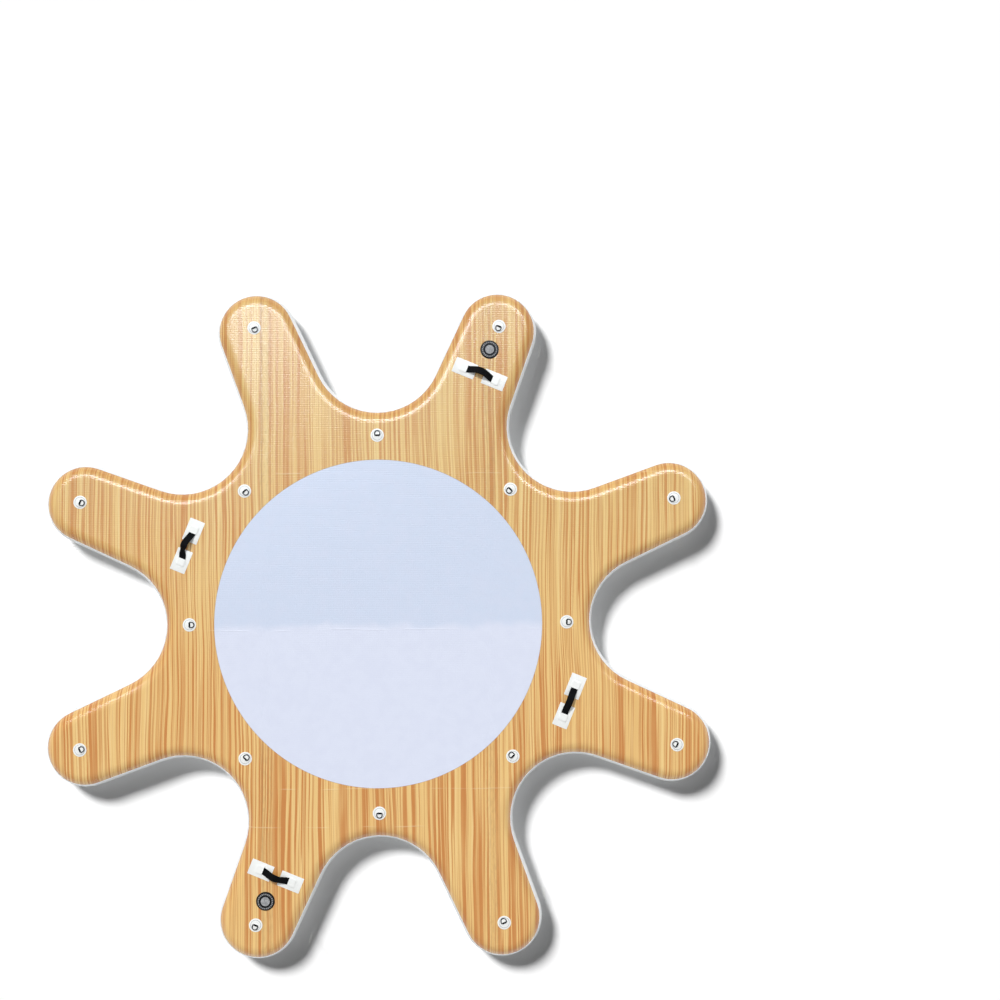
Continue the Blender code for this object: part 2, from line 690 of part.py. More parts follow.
def main():
    clear_scene()
    wood = material("printed_wood_skin", (0.78, 0.52, 0.24), 0.45)
    print_disc = material("pale_blue_print", (0.66, 0.74, 0.88), 0.45)
    white = material("white_pvc", (0.88, 0.90, 0.90), 0.45)
    cloth = material("core_cloth", (0.80, 0.80, 0.76), 0.9)
    webbing = material("black_webbing", (0.012, 0.012, 0.014), 0.85)
    steel = material("steel_wire", (0.55, 0.56, 0.58), 0.25, 1.0)
    black = material("black_plastic", (0.015, 0.016, 0.02), 0.4)
    grey = material("grey_plastic", (0.10, 0.10, 0.11), 0.45)
    deck_skin(wood, print_disc)
    bottom_skin(white)
    rail_band(white)
    drop_stitch_core(cloth)
    seam_tapes(white)
    d_rings(white, steel)
    handles(white, webbing)
    valves(black, grey, white, steel)
    shade_flat_faces()


main()
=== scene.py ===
# %% [markdown]
# # An inflatable dock platform with eight arms
#
# The real thing is a flat air body of drop-stitch cloth, coated with PVC. Its deck carries a
# printed wood grain, a white band runs round its side, and rings, handles and two air valves
# are welded to it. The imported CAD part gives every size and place. This file builds the same
# pieces again with soft edges and real finishes, and leaves the moving bodies where they are.

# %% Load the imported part
import json
import math

import bmesh
import bpy
from mathutils import Matrix, Vector


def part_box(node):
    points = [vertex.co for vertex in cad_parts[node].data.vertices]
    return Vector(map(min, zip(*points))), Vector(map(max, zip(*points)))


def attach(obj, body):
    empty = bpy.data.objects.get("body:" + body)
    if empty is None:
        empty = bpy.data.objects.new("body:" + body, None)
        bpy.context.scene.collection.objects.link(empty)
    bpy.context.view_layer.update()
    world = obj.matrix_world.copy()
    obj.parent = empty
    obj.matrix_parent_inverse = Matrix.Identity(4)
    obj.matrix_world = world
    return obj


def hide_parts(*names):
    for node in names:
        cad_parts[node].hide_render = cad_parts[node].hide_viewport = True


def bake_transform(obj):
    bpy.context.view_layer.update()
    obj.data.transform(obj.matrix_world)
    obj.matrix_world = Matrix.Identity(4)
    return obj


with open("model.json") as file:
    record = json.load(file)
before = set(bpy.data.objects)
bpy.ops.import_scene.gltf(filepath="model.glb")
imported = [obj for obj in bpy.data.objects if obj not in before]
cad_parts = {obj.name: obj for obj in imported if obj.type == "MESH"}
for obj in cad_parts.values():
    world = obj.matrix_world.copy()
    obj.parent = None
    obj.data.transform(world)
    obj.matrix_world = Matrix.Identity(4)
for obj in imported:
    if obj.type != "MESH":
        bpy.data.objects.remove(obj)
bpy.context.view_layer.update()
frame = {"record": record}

# %% [markdown]
# ## Camera
#
# The picture looks almost straight down on the deck. A long lens keeps the star undistorted.
# The lens shift does what a view camera does: it moves the frame over the platform while the
# lens still looks down, so the side band shows on the upper right and hides on the lower left.

# %% Camera above the deck
PICTURE_WIDTH = 1000
SENSOR_WIDTH = 36.0
LENS_PIXELS = 1500
LENS_CENTRE = (452.1, 497.1)

camera = bpy.data.objects.new("camera", bpy.data.cameras.new("camera"))
camera.data.sensor_width = SENSOR_WIDTH
camera.data.lens = LENS_PIXELS / PICTURE_WIDTH * SENSOR_WIDTH
camera.data.shift_x = 0.5 - LENS_CENTRE[0] / PICTURE_WIDTH
camera.data.shift_y = LENS_CENTRE[1] / PICTURE_WIDTH - 0.5
camera.location = (0.25, 0.30, 6.5572)
camera.rotation_euler = [math.radians(angle) for angle in (2.111, -0.594, -0.437)]
bpy.context.scene.collection.objects.link(camera)
bpy.context.scene.camera = camera
bpy.context.scene.view_settings.view_transform = "Standard"
print("lens", camera.data.lens, "mm, shift", round(camera.data.shift_x, 4), round(camera.data.shift_y, 4))

# %% [markdown]
# ## Light
#
# A studio lights the backdrop and the product apart, and light linking does the same here.
# One soft sun from the upper left lights only the floor, and throws the shadow to the lower
# right. The platform has its own key from the far end and a wide soft fill from above. With
# the sky they add up to about 1 on a level surface, so a colour renders about as it is
# written. Three cards are seen only in reflections. The long one hangs high and far, and draws
# the thin bright line along the shoulders that face it. The wide one lays a faint haze on the
# far end, and the small one gives the sheen on the upper left arm.

# %% Lamps
SKY_SHARE = 0.09
MIRRORED_SKY = 0.60
BACKDROP_SHARE = 0.91
KEY_SHARE = 0.51
FILL_SHARE = 0.42
DAYLIGHT = (0.86, 1.0, 1.16)


def lamp(name, kind, place, target=(0, 0, 0)):
    """Adds a lamp that shines from a place towards a target."""
    made = bpy.data.objects.new(name, bpy.data.lights.new(name, kind))
    made.location = place
    made.rotation_euler = (Vector(target) - Vector(place)).to_track_quat("-Z", "Y").to_euler()
    bpy.context.scene.collection.objects.link(made)
    return made


def soft_sun(name, share, direction, elevation, angle):
    """A sun that gives this share of the full level on the floor. Angles are in degrees."""
    turn, rise = math.radians(direction), math.radians(elevation)
    made = lamp(name, "SUN", (5 * math.cos(turn), 5 * math.sin(turn), 5 * math.tan(rise)))
    made.data.energy = share * math.pi / math.sin(rise)
    made.data.angle = math.radians(angle)
    made.visible_glossy = False
    return made


def mirror_card(name, radiance, place, target, width, height):
    """A glowing card that only reflections see, cool white as daylight from a window is."""
    made = lamp(name, "AREA", place, target)
    made.data.color = DAYLIGHT
    made.data.shape = "RECTANGLE"
    made.data.size = width
    made.data.size_y = height
    made.data.energy = radiance * math.pi * width * height
    made.visible_diffuse = False
    return made


backdrop_sun = soft_sun("backdrop_sun", BACKDROP_SHARE, 130, 43.5, 13)
product_lamps = [
    soft_sun("key_sun", KEY_SHARE, 113, 55, 4),
    soft_sun("fill_sky", FILL_SHARE, 92, 84, 110),
    mirror_card("long_window", 13.0, (0, 3.6, 4.5), (0, 1.1, 0.15), 9.7, 1.2),
    mirror_card("wide_window", 1.2, (-0.6, 1.6, 2.5), (-0.4, 1.15, 0.15), 3.4, 1.7),
    mirror_card("small_window", 9.0, (-0.85, 1.80, 2.5), (-0.52, 1.27, 0.15), 0.60, 0.65),
]
print(1 + len(product_lamps), "lamps")

# %% [markdown]
# ## Node helpers
#
# Every finish below is a small node tree. These helpers add a node, feed its sockets, and
# turn a colour from the 0 to 255 numbers of a picture into the linear numbers of a shader.

# %% Node helpers


def shade(red, green, blue):
    """A picture's colour as a linear shader colour."""
    parts = [channel / 255 for channel in (red, green, blue)]
    return [part / 12.92 if part <= 0.04045 else ((part + 0.055) / 1.055) ** 2.4 for part in parts] + [1.0]


def add_node(tree, kind, inputs=(), **settings):
    """Adds a node. Inputs pair a socket with a value or with the output that feeds it."""
    made = tree.nodes.new(kind)
    for name, value in settings.items():
        setattr(made, name, value)
    for socket, value in dict(inputs).items():
        if isinstance(value, bpy.types.NodeSocket):
            tree.links.new(value, made.inputs[socket])
        else:
            made.inputs[socket].default_value = value
    return made


def math_node(tree, operation, first, second=0.0, third=0.0):
    """The output of one Math node."""
    return add_node(tree, "ShaderNodeMath", {0: first, 1: second, 2: third}, operation=operation).outputs[0]


def times(tree, first, second):
    """One value times another."""
    return math_node(tree, "MULTIPLY", first, second)


def scaled(tree, value, factor, offset):
    """A value times a factor, plus an offset."""
    return math_node(tree, "MULTIPLY_ADD", value, factor, offset)


def apart(tree, first, second):
    """How far one value is from another."""
    return math_node(tree, "ABSOLUTE", math_node(tree, "SUBTRACT", first, second))


def mix_colours(tree, amount, first, second, blend="MIX"):
    """The colour between two colours, or one laid over the other."""
    pair = {"Factor": amount, 6: first, 7: second}
    return add_node(tree, "ShaderNodeMix", pair, data_type="RGBA", blend_type=blend).outputs[2]


def ramp(tree, value, low, high):
    """0 below the low value and 1 above the high one, with a soft step between them."""
    inputs = {"Value": value, "From Min": low, "From Max": high}
    return add_node(tree, "ShaderNodeMapRange", inputs, interpolation_type="SMOOTHSTEP").outputs[0]


def fall(tree, value, low, high):
    """1 below the low value and 0 above the high one, with a soft step between them."""
    return math_node(tree, "SUBTRACT", 1.0, ramp(tree, value, low, high))


def object_place(tree):
    """The place on the object, whole and as its three parts."""
    place = add_node(tree, "ShaderNodeTexCoord").outputs["Object"]
    return place, add_node(tree, "ShaderNodeSeparateXYZ", {0: place}).outputs


def stretched_noise(tree, place, across, along, detail=2.0, seed=0.0):
    """Noise with this many marks in a metre across the grain and along it."""
    scale = {"Vector": place, "Scale": (across, along, across), "Location": (seed, seed, seed)}
    mapped = add_node(tree, "ShaderNodeMapping", scale).outputs[0]
    inputs = {"Vector": mapped, "Scale": 1.0, "Detail": detail, "Roughness": 0.5}
    return add_node(tree, "ShaderNodeTexNoise", inputs).outputs["Fac"]


def new_finish(name, sockets):
    """A material with these values on its shader, with its node tree and its shader."""
    made = bpy.data.materials.new(name)
    made.use_nodes = True
    shader = made.node_tree.nodes["Principled BSDF"]
    for socket, value in sockets.items():
        shader.inputs[socket].default_value = value
    return made, made.node_tree, shader


def bump(tree, shader, height, depth, socket="Normal"):
    """Lets a height pattern, 0 to 1, tilt the surface as if it were this deep in metres."""
    inputs = {"Height": height, "Distance": depth, "Strength": 1.0}
    tree.links.new(add_node(tree, "ShaderNodeBump", inputs).outputs[0], shader.inputs[socket])


def wave(tree, value, pitch):
    """A wave from -1 to 1 along a coordinate, with this length in metres."""
    return math_node(tree, "SINE", times(tree, value, 2 * math.pi / pitch))


print("helpers are ready")

# %% [markdown]
# ## Floor and sky
#
# The platform stands on a plain pale floor. For the camera and for reflections the floor is
# pure white, with a trace of its own light so that its far end stays white too. It keeps the
# platform's shadow, because that shadow is real light that is missing. Rays that only carry
# light meet a greyer floor that glows, and so it lights the platform's sides as the white
# sweep of a studio does. The sky in reflections is dimmed, because a studio's room is dark.

# %% Floor and sky
FLOOR_SIZE = 60.0
FLOOR_DROP = 0.0004
SEEN_GLOW = 0.015
BOUNCED_GLOW = 0.45


def seen_directly(tree):
    """1 for the rays that a viewer, a mirror or glass follows, and 0 for the others."""
    path = add_node(tree, "ShaderNodeLightPath")
    seen = math_node(tree, "MAXIMUM", path.outputs["Is Camera Ray"], path.outputs["Is Glossy Ray"])
    return math_node(tree, "MAXIMUM", seen, path.outputs["Is Transmission Ray"])


floor_shape = bmesh.new()
bmesh.ops.create_grid(floor_shape, x_segments=1, y_segments=1, size=FLOOR_SIZE / 2)
bmesh.ops.translate(floor_shape, vec=(0, 0, -FLOOR_DROP), verts=floor_shape.verts)
floor = bpy.data.objects.new("floor", bpy.data.meshes.new("floor"))
floor_shape.to_mesh(floor.data)
floor_shape.free()
bpy.context.scene.collection.objects.link(floor)

floor_paint, tree, shader = new_finish("pale_floor", {
    "Roughness": 0.9, "Specular IOR Level": 0.0, "Emission Color": (1, 1, 1, 1)
})
seen = seen_directly(tree)
tone = mix_colours(tree, seen, (0.72, 0.72, 0.72, 1), (1, 1, 1, 1))
tree.links.new(tone, shader.inputs["Base Color"])
glow = add_node(tree, "ShaderNodeMapRange", {"Value": seen, "To Min": BOUNCED_GLOW, "To Max": SEEN_GLOW})
tree.links.new(glow.outputs[0], shader.inputs["Emission Strength"])
floor.data.materials.append(floor_paint)

for lights, state in (([backdrop_sun], "INCLUDE"), (product_lamps, "EXCLUDE")):
    floor_group = bpy.data.collections.new(f"floor_{state.lower()}")
    floor_group.objects.link(floor)
    floor_group.collection_objects[0].light_linking.link_state = state
    for light in lights:
        light.light_linking.receiver_collection = floor_group

sky = bpy.data.worlds.new("pale_sky")
bpy.context.scene.world = sky
sky.use_nodes = True
tree = sky.node_tree
background = tree.nodes["Background"]
background.inputs["Color"].default_value = (1, 1, 1, 1)
strength = {"Value": seen_directly(tree), "To Min": SKY_SHARE, "To Max": 1.0}
strength = add_node(tree, "ShaderNodeMapRange", strength).outputs[0]
in_mirror = add_node(tree, "ShaderNodeLightPath").outputs["Is Glossy Ray"]
dimmed = scaled(tree, in_mirror, MIRRORED_SKY - 1.0, strength)
tree.links.new(dimmed, background.inputs["Strength"])
print("floor is", FLOOR_SIZE, "m wide")

# %% [markdown]
# ## Printed wood
#
# The deck is PVC with a wood grain printed on it before it is welded. The grain runs one way
# over the whole platform and bends a little, so every mark of the print is placed on bent
# coordinates.

# %% Printed wood: the place of each mark
BEND = 0.050
SWING = 0.016

wood_print, tree, shader = new_finish("wood_print", {
    "Roughness": 0.36, "Specular IOR Level": 0.15, "Coat Weight": 1.0, "Coat Roughness": 0.15
})
place, axes = object_place(tree)
drift = scaled(tree, stretched_noise(tree, place, 2.2, 0.9, 1.0), BEND, -BEND / 2)
swing = scaled(tree, stretched_noise(tree, place, 9.0, 2.6, 1.0, seed=4.0), SWING, -SWING / 2)
bent_x = math_node(tree, "ADD", math_node(tree, "ADD", axes["X"], drift), swing)
far_end = ramp(tree, axes["Y"], -0.4, 1.0)
grain_place = add_node(tree, "ShaderNodeCombineXYZ", {"X": bent_x, "Y": axes["Y"]}).outputs[0]
print("grain bends by up to", round(1000 * (BEND + SWING) / 2), "mm")

# %% [markdown]
# The print is built from six layers of noise, each one stretched along the grain: broad tone,
# soft bands, pale hair lines, boards, dark hair lines and orange streaks. The last three come
# and go along the grain, and weaken towards the far end.

# %% Printed wood: layers of grain


def fading(mask, weight, seed):
    """A layer that comes and goes along the grain, and weakens towards the far end."""
    come_and_go = ramp(tree, stretched_noise(tree, grain_place, 14.0, 1.7, 2.0, seed=seed), 0.30, 0.58)
    weight = scaled(tree, far_end, -0.22 * weight, weight)
    return times(tree, mask, times(tree, scaled(tree, come_and_go, 0.55, 0.45), weight))


def grain(across, along, detail, seed, low, high):
    """One layer of marks: 0 where the noise is low and 1 where it is high."""
    return ramp(tree, stretched_noise(tree, grain_place, across, along, detail, seed), low, high)


broad = grain(6.0, 0.3, 2.0, 11.0, 0.38, 0.64)
band = grain(26.0, 0.35, 2.5, 23.0, 0.50, 0.66)
board = grain(21.0, 0.30, 1.5, 3.0, 0.600, 0.622)
streak = grain(98.0, 0.45, 1.5, 7.0, 0.532, 0.552)
hair = grain(175.0, 0.7, 1.5, 19.0, 0.525, 0.560)
pale_hair = grain(90.0, 0.8, 2.0, 29.0, 0.54, 0.66)

wood = mix_colours(tree, broad, shade(238, 200, 130), shade(235, 193, 122))
wood = mix_colours(tree, times(tree, band, 0.26), wood, shade(222, 171, 99))
wood = mix_colours(tree, times(tree, pale_hair, 0.40), wood, shade(247, 218, 154))
board = times(tree, board, scaled(tree, far_end, -0.45, 1.0))
wood = mix_colours(tree, fading(board, 0.80, 37.0), wood, shade(213, 150, 83))
wood = mix_colours(tree, fading(hair, 0.74, 41.0), wood, shade(204, 141, 76))
wood = mix_colours(tree, fading(streak, 1.0, 31.0), wood, shade(203, 133, 66))
print("the wood has six layers")

# %% [markdown]
# The inner seams, where the panels of the core are joined, press through the deck as two
# rough bands. Where the platform has been rolled up, faint creases run across it.

# %% Printed wood: seam bands and creases
SEAM_PLACE = 0.478
SEAM_HALF_WIDTH = 0.027
FOLD_PLACE = SEAM_PLACE + SEAM_HALF_WIDTH - 0.010
CREASE_PLACES = (-0.026, -0.700, -0.860, 0.640)

from_seam = apart(tree, math_node(tree, "ABSOLUTE", axes["X"]), SEAM_PLACE)
seam = fall(tree, from_seam, SEAM_HALF_WIDTH - 0.005, SEAM_HALF_WIDTH + 0.003)
flecks = ramp(tree, stretched_noise(tree, place, 130.0, 34.0, 4.0, seed=2.0), 0.42, 0.70)
seam_flecks = times(tree, seam, scaled(tree, flecks, 0.24, 0.06))
wood = mix_colours(tree, seam_flecks, wood, shade(182, 140, 88))
fold_line = fall(tree, apart(tree, axes["X"], -FOLD_PLACE), 0.0012, 0.0048)
wood = mix_colours(tree, times(tree, fold_line, 0.30), wood, shade(168, 124, 74))

wander = stretched_noise(tree, place, 4.0, 4.0, 2.0, seed=6.0)
bent_y = scaled(tree, wander, 0.014, axes["Y"])
broken = ramp(tree, stretched_noise(tree, place, 7.0, 30.0, 1.0, seed=9.0), 0.46, 0.60)
crease = 0.0
for crease_place in CREASE_PLACES:
    line = fall(tree, apart(tree, bent_y, crease_place + 0.007), 0.0005, 0.0035)
    crease = math_node(tree, "MAXIMUM", line, crease)
crease = times(tree, crease, broken)
wood = mix_colours(tree, times(tree, crease, 0.35), wood, shade(246, 222, 176))
print(len(CREASE_PLACES), "creases and 2 seam bands")

# %% [markdown]
# The round pale print in the middle is a mask by distance, in two tones that meet in a cloudy
# line. Painted shade darkens the wood where the deck curves down at the shoulders, most at the
# far end, and a painted haze makes the wood paler and cooler towards the far end.

# %% Printed wood: the round pale print
PRINT_RADIUS = 0.698
RIM_HALF_WIDTH = 0.0011
SHOULDER_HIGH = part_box("deck_skin")[1].z - 0.0005
SHOULDER_LOW = SHOULDER_HIGH - 0.016
FAR_END_PAINTED_HAZE = (0.93, 1.00, 1.05, 1.0)

flat_place = add_node(tree, "ShaderNodeCombineXYZ", {"X": axes["X"], "Y": axes["Y"]}).outputs[0]
from_middle = add_node(tree, "ShaderNodeVectorMath", {0: flat_place}, operation="LENGTH").outputs["Value"]
inside_print = math_node(tree, "LESS_THAN", from_middle, PRINT_RADIUS)
on_rim = math_node(tree, "LESS_THAN", apart(tree, from_middle, PRINT_RADIUS), RIM_HALF_WIDTH)
cloudy = stretched_noise(tree, place, 7.0, 7.0, 4.0, seed=5.0)
lower_half = fall(tree, scaled(tree, cloudy, 0.10, axes["Y"]), 0.020, 0.060)
pale_print = mix_colours(tree, lower_half, shade(208, 219, 240), shade(222, 228, 246))
mottled = ramp(tree, stretched_noise(tree, place, 22.0, 22.0, 3.0, seed=8.0), 0.35, 0.70)
pale_print = mix_colours(tree, times(tree, mottled, 0.30), pale_print, shade(214, 220, 240))
pale_print = mix_colours(tree, times(tree, crease, 0.15), pale_print, shade(236, 240, 250))
# painted shade: the wood is darkened on the shoulders, most at the far end
painted_shoulder_shade = fall(tree, axes["Z"], SHOULDER_LOW, SHOULDER_HIGH)
painted_shoulder_shade = times(tree, painted_shoulder_shade, scaled(tree, far_end, 0.6, 0.4))
wood = mix_colours(tree, painted_shoulder_shade, wood, shade(248, 230, 206), "MULTIPLY")
# painted sheen: the wood is tinted cooler towards the far end, as a haze of reflected window light
wood = mix_colours(tree, far_end, wood, FAR_END_PAINTED_HAZE, "MULTIPLY")
colour = mix_colours(tree, inside_print, wood, pale_print)
colour = mix_colours(tree, times(tree, on_rim, 0.45), colour, shade(150, 128, 110))
tree.links.new(colour, shader.inputs["Base Color"])
print("print is", 2 * PRINT_RADIUS, "m across")

# %% [markdown]
# The threads of the core pull the deck down in rows of small dimples, most of all at the far
# end, and a fine weave shows through the coating. The clear coat follows them less closely,
# so its reflections stay smoother than the print.

# %% Printed wood: dimples, weave and gloss
THREAD_PITCH = 0.0095
WEAVE_PITCH = 0.0016
PRINT_RELIEF = 0.0005
COAT_RELIEF = 0.0003
rows = wave(tree, scaled(tree, wander, 0.006, axes["Y"]), THREAD_PITCH)
dimples = scaled(tree, wave(tree, axes["X"], THREAD_PITCH * 0.8), 0.5, rows)
dimples = times(tree, dimples, scaled(tree, far_end, 0.75, 0.15))
weave = times(tree, wave(tree, axes["X"], WEAVE_PITCH), wave(tree, axes["Y"], WEAVE_PITCH))
relief = scaled(tree, weave, 0.12, times(tree, dimples, 0.42))
relief = scaled(tree, times(tree, flecks, seam), 0.8, relief)
relief = scaled(tree, crease, 1.2, relief)
relief = scaled(tree, stretched_noise(tree, place, 6.0, 6.0, 2.0, seed=1.0), 2.0, relief)
bump(tree, shader, relief, PRINT_RELIEF)
bump(tree, shader, relief, COAT_RELIEF, "Coat Normal")
print("dimples every", THREAD_PITCH, "m")

# %% [markdown]
# ## White PVC
#
# The side band, the patches and the tapes are plain coated cloth. They aren't a flat white:
# the coating is a little cloudy, dust greys it, and the weave shows as a fine relief. The weld
# ring round a patch's upper disc is the same cloth, painted grey as the shade along the disc's step.

# %% White PVC


def white_pvc(name, clean, dusty, roughness, weave_depth):
    """Coated white cloth, cloudy between two tones, with a fine weave."""
    made, tree, shader = new_finish(name, {"Roughness": roughness})
    place, axes = object_place(tree)
    cloud = ramp(tree, stretched_noise(tree, place, 14.0, 14.0, 4.0, seed=3.0), 0.35, 0.75)
    speck = ramp(tree, stretched_noise(tree, place, 420.0, 420.0, 2.0, seed=5.0), 0.60, 0.80)
    tone = mix_colours(tree, cloud, shade(*clean), shade(*dusty))
    tone = mix_colours(tree, times(tree, speck, 0.10), tone, shade(196, 198, 196))
    tree.links.new(tone, shader.inputs["Base Color"])
    slant = math_node(tree, "ADD", axes["X"], axes["Y"])
    cross = math_node(tree, "SUBTRACT", math_node(tree, "ADD", axes["X"], axes["Z"]), axes["Y"])
    weave = times(tree, wave(tree, slant, WEAVE_PITCH), wave(tree, cross, WEAVE_PITCH))
    soft = stretched_noise(tree, place, 60.0, 60.0, 2.0, seed=2.0)
    bump(tree, shader, scaled(tree, soft, 1.5, weave), weave_depth)
    return made


patch_pvc = white_pvc("patch_pvc", (246, 248, 246), (241, 243, 241), 0.42, 0.00008)
band_pvc = white_pvc("band_pvc", (252, 254, 255), (243, 247, 249), 0.38, 0.00010)
underside_pvc = white_pvc("underside_pvc", (236, 238, 238), (226, 229, 229), 0.40, 0.00012)
tape_pvc = white_pvc("tape_pvc", (240, 242, 242), (230, 233, 233), 0.34, 0.00006)
# painted shade: the grey of the weld ring stands for the shade along a patch's step
step_shade_pvc = white_pvc("step_shade_pvc", (150, 155, 160), (176, 181, 186), 0.46, 0.00005)
print("five white finishes")

# %% [markdown]
# ## Star outline
#
# Every large piece follows one outline: an arc round each tip, an arc in each valley, and a
# straight flank between them. An arc is one point spun round its centre. Half an arm is
# mirrored into a whole one, and the arm is spun into eight. A smaller or larger outline has
# the same centres with other radii, so all the outlines run parallel.

# %% Star outline
ARM_COUNT = 8
HALF_ARM = math.pi / ARM_COUNT
TIP_REACH = 1.525
TIP_RADIUS = 0.171
VALLEY_REACH = 0.914
VALLEY_RADIUS = 0.268
TIP_STEPS = 12
VALLEY_STEPS = 9
Z_AXIS = Vector((0, 0, 1))


def polar(distance, angle, height=0.0):
    """A point at this distance and direction from the middle."""
    return Vector((distance * math.cos(angle), distance * math.sin(angle), height))


def edges_of(verts):
    """Every edge that ends at one of these points."""
    return list({edge for vert in verts for edge in vert.link_edges})


tip_centre = polar(TIP_REACH - TIP_RADIUS, 0)
valley_centre = polar(VALLEY_REACH + VALLEY_RADIUS, HALF_ARM)
span = valley_centre - tip_centre
FLANK = math.atan2(span.y, span.x) - math.acos((TIP_RADIUS + VALLEY_RADIUS) / span.length)
print("flanks stand", round(math.degrees(FLANK), 2), "degrees off the arm's axis")


def star_loop(made, inset, height):
    """Adds one closed loop of edges on the outline, this far inside the outermost edge."""
    known = set(made.verts)

    def added():
        return [vert for vert in made.verts if vert not in known]

    def arc(start, centre, angle, steps):
        point = made.verts.new(start)
        centre = centre + Z_AXIS * height
        bmesh.ops.spin(made, geom=[point], cent=centre, axis=Z_AXIS, angle=angle, steps=steps)

    arc(polar(TIP_REACH - inset, 0, height), tip_centre, FLANK, TIP_STEPS)
    tip = added()
    arc(polar(VALLEY_REACH - inset, HALF_ARM, height), valley_centre, FLANK - HALF_ARM, VALLEY_STEPS)
    half = added()
    valley = [vert for vert in half if vert not in tip]
    made.edges.new((max(tip, key=lambda vert: vert.co.y), max(valley, key=lambda vert: vert.co.x)))
    geom = half + edges_of(half)
    bmesh.ops.mirror(made, geom=geom, matrix=Matrix.Identity(4), merge_dist=1e-6, axis="Y")
    arm = added()
    bmesh.ops.rotate(made, verts=arm, cent=(0, 0, 0), matrix=Matrix.Rotation(HALF_ARM, 3, "Z"))
    bmesh.ops.spin(
        made, geom=arm + edges_of(arm), cent=(0, 0, 0), axis=Z_AXIS,
        angle=2 * math.pi * (ARM_COUNT - 1) / ARM_COUNT, steps=ARM_COUNT - 1, use_duplicate=True
    )
    bmesh.ops.remove_doubles(made, verts=added(), dist=1e-5)
    return edges_of(added())


# %% [markdown]
# ## Sides of the air body
#
# Air pressure rounds the side of the body into half an ellipse, because the threads hold the
# deck and the underside apart but the side is free. A point on the side is given by an angle
# up that ellipse, and by how far outside the skin it lies.

# %% Side of the body
BODY_THICKNESS = 0.150
SIDE_BULGE = 0.060
SKIN_WALL = 0.0015
SEAT_GAP = 0.0003
RAIL_WALL = 0.0015
RAIL_HEIGHT = 0.086
RAIL_LAP = 0.014
FLAT_INSET = SIDE_BULGE + SEAT_GAP + RAIL_WALL

deck_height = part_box("deck_skin")[1].z
MIDDLE = deck_height - BODY_THICKNESS / 2


def side_loop(made, layer, angle):
    """Adds a loop on the body's side, this far outside the skin and up the bulge."""
    inset = FLAT_INSET - (SIDE_BULGE + layer) * math.cos(angle)
    return star_loop(made, inset, MIDDLE + (BODY_THICKNESS / 2 + layer) * math.sin(angle))


def angle_at(height):
    """Angle up the bulge at this height above the middle."""
    return math.asin(height / (BODY_THICKNESS / 2))


def join_loops(made, loops):
    """Bridges each loop to the next one with a strip of faces."""
    for first, second in zip(loops, loops[1:]):
        bmesh.ops.bridge_loops(made, edges=first + second)


print("deck is", round(deck_height, 4), "m above the floor")

# %% [markdown]
# ## Placing a finished piece
#
# A finished piece keeps its place in its mesh, rides on its CAD body, and stands for its CAD
# node. Faces that meet at a sharp angle keep a crisp edge, and the others shade softly.

# %% Placing a finished piece
BODY_OF = {node: body for body, nodes in frame["record"]["behaviour"]["bodies"].items() for node in nodes}


def finished(name, mesh, node, finish, sharp=32, stretch=None):
    """Puts a mesh in the scene as the piece that stands for a CAD node."""
    piece = bpy.data.objects.new(name, mesh)
    bpy.context.scene.collection.objects.link(piece)
    if not mesh.materials:
        mesh.materials.append(finish)
    mesh.shade_smooth()
    mesh.set_sharp_from_angle(angle=math.radians(sharp))
    if stretch:
        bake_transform(piece)
    else:
        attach(piece, BODY_OF[node])
    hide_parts(node)
    return piece


def face_outwards(made):
    """Points the faces of closed shapes outwards."""
    bmesh.ops.recalc_face_normals(made, faces=made.faces)


def mesh_from(made, name, outwards=True):
    """Turns a bmesh into a mesh, with its faces pointing outwards unless they already do."""
    if outwards:
        face_outwards(made)
    mesh = bpy.data.meshes.new(name)
    made.to_mesh(mesh)
    made.free()
    return mesh


def give_wall(piece, thickness, offset=-1.0):
    """Turns a sheet into a wall of this thickness."""
    wall = piece.modifiers.new("wall", "SOLIDIFY")
    wall.thickness = thickness
    wall.offset = offset
    wall.use_even_offset = True


# %% [markdown]
# ## Deck and underside
#
# Each skin is a sheet: it starts under the side band, climbs the shoulder, and is filled
# across the top. An inset just inside the flat's edge keeps the shoulder's soft shading off
# the deck. For a valve's hole, four cuts make a square face round it, and that face gives
# way to a circle that is bridged to the square's edges.

# %% Deck and underside
SHOULDER_STEPS = 12
FLAT_RIM = 0.006
VALVE_DISTANCE = 1.264
VALVE_ARMS = (2, 6)
HOLE_RADIUS = 0.0274
HOLE_STEPS = 48
SQUARE_REACH = 0.034

valve_places = [polar(VALVE_DISTANCE, (2 * arm - 1) * HALF_ARM) for arm in VALVE_ARMS]


def skin_sheet(side, layer=0.0, edge_height=RAIL_HEIGHT / 2 - RAIL_LAP):
    """A sheet over the upper side for 1 or the lower side for -1, this far outside the skin."""
    made = bmesh.new()
    low = angle_at(edge_height)
    angles = [low + (math.pi / 2 - low) * step / SHOULDER_STEPS for step in range(SHOULDER_STEPS + 1)]
    loops = [side_loop(made, layer, side * angle) for angle in angles]
    join_loops(made, loops)
    flat = bmesh.ops.contextual_create(made, geom=loops[-1])["faces"]
    face_outwards(made)
    if flat[0].normal.z * side < 0:
        bmesh.ops.reverse_faces(made, faces=made.faces)
    bmesh.ops.inset_region(made, faces=flat, thickness=FLAT_RIM, use_even_offset=True, use_boundary=True)
    return made


def on_flat(face):
    """Whether a face belongs to the flat top of the deck."""
    return face.calc_center_median().z > deck_height - 1e-5 and face.normal.z > 0.9999


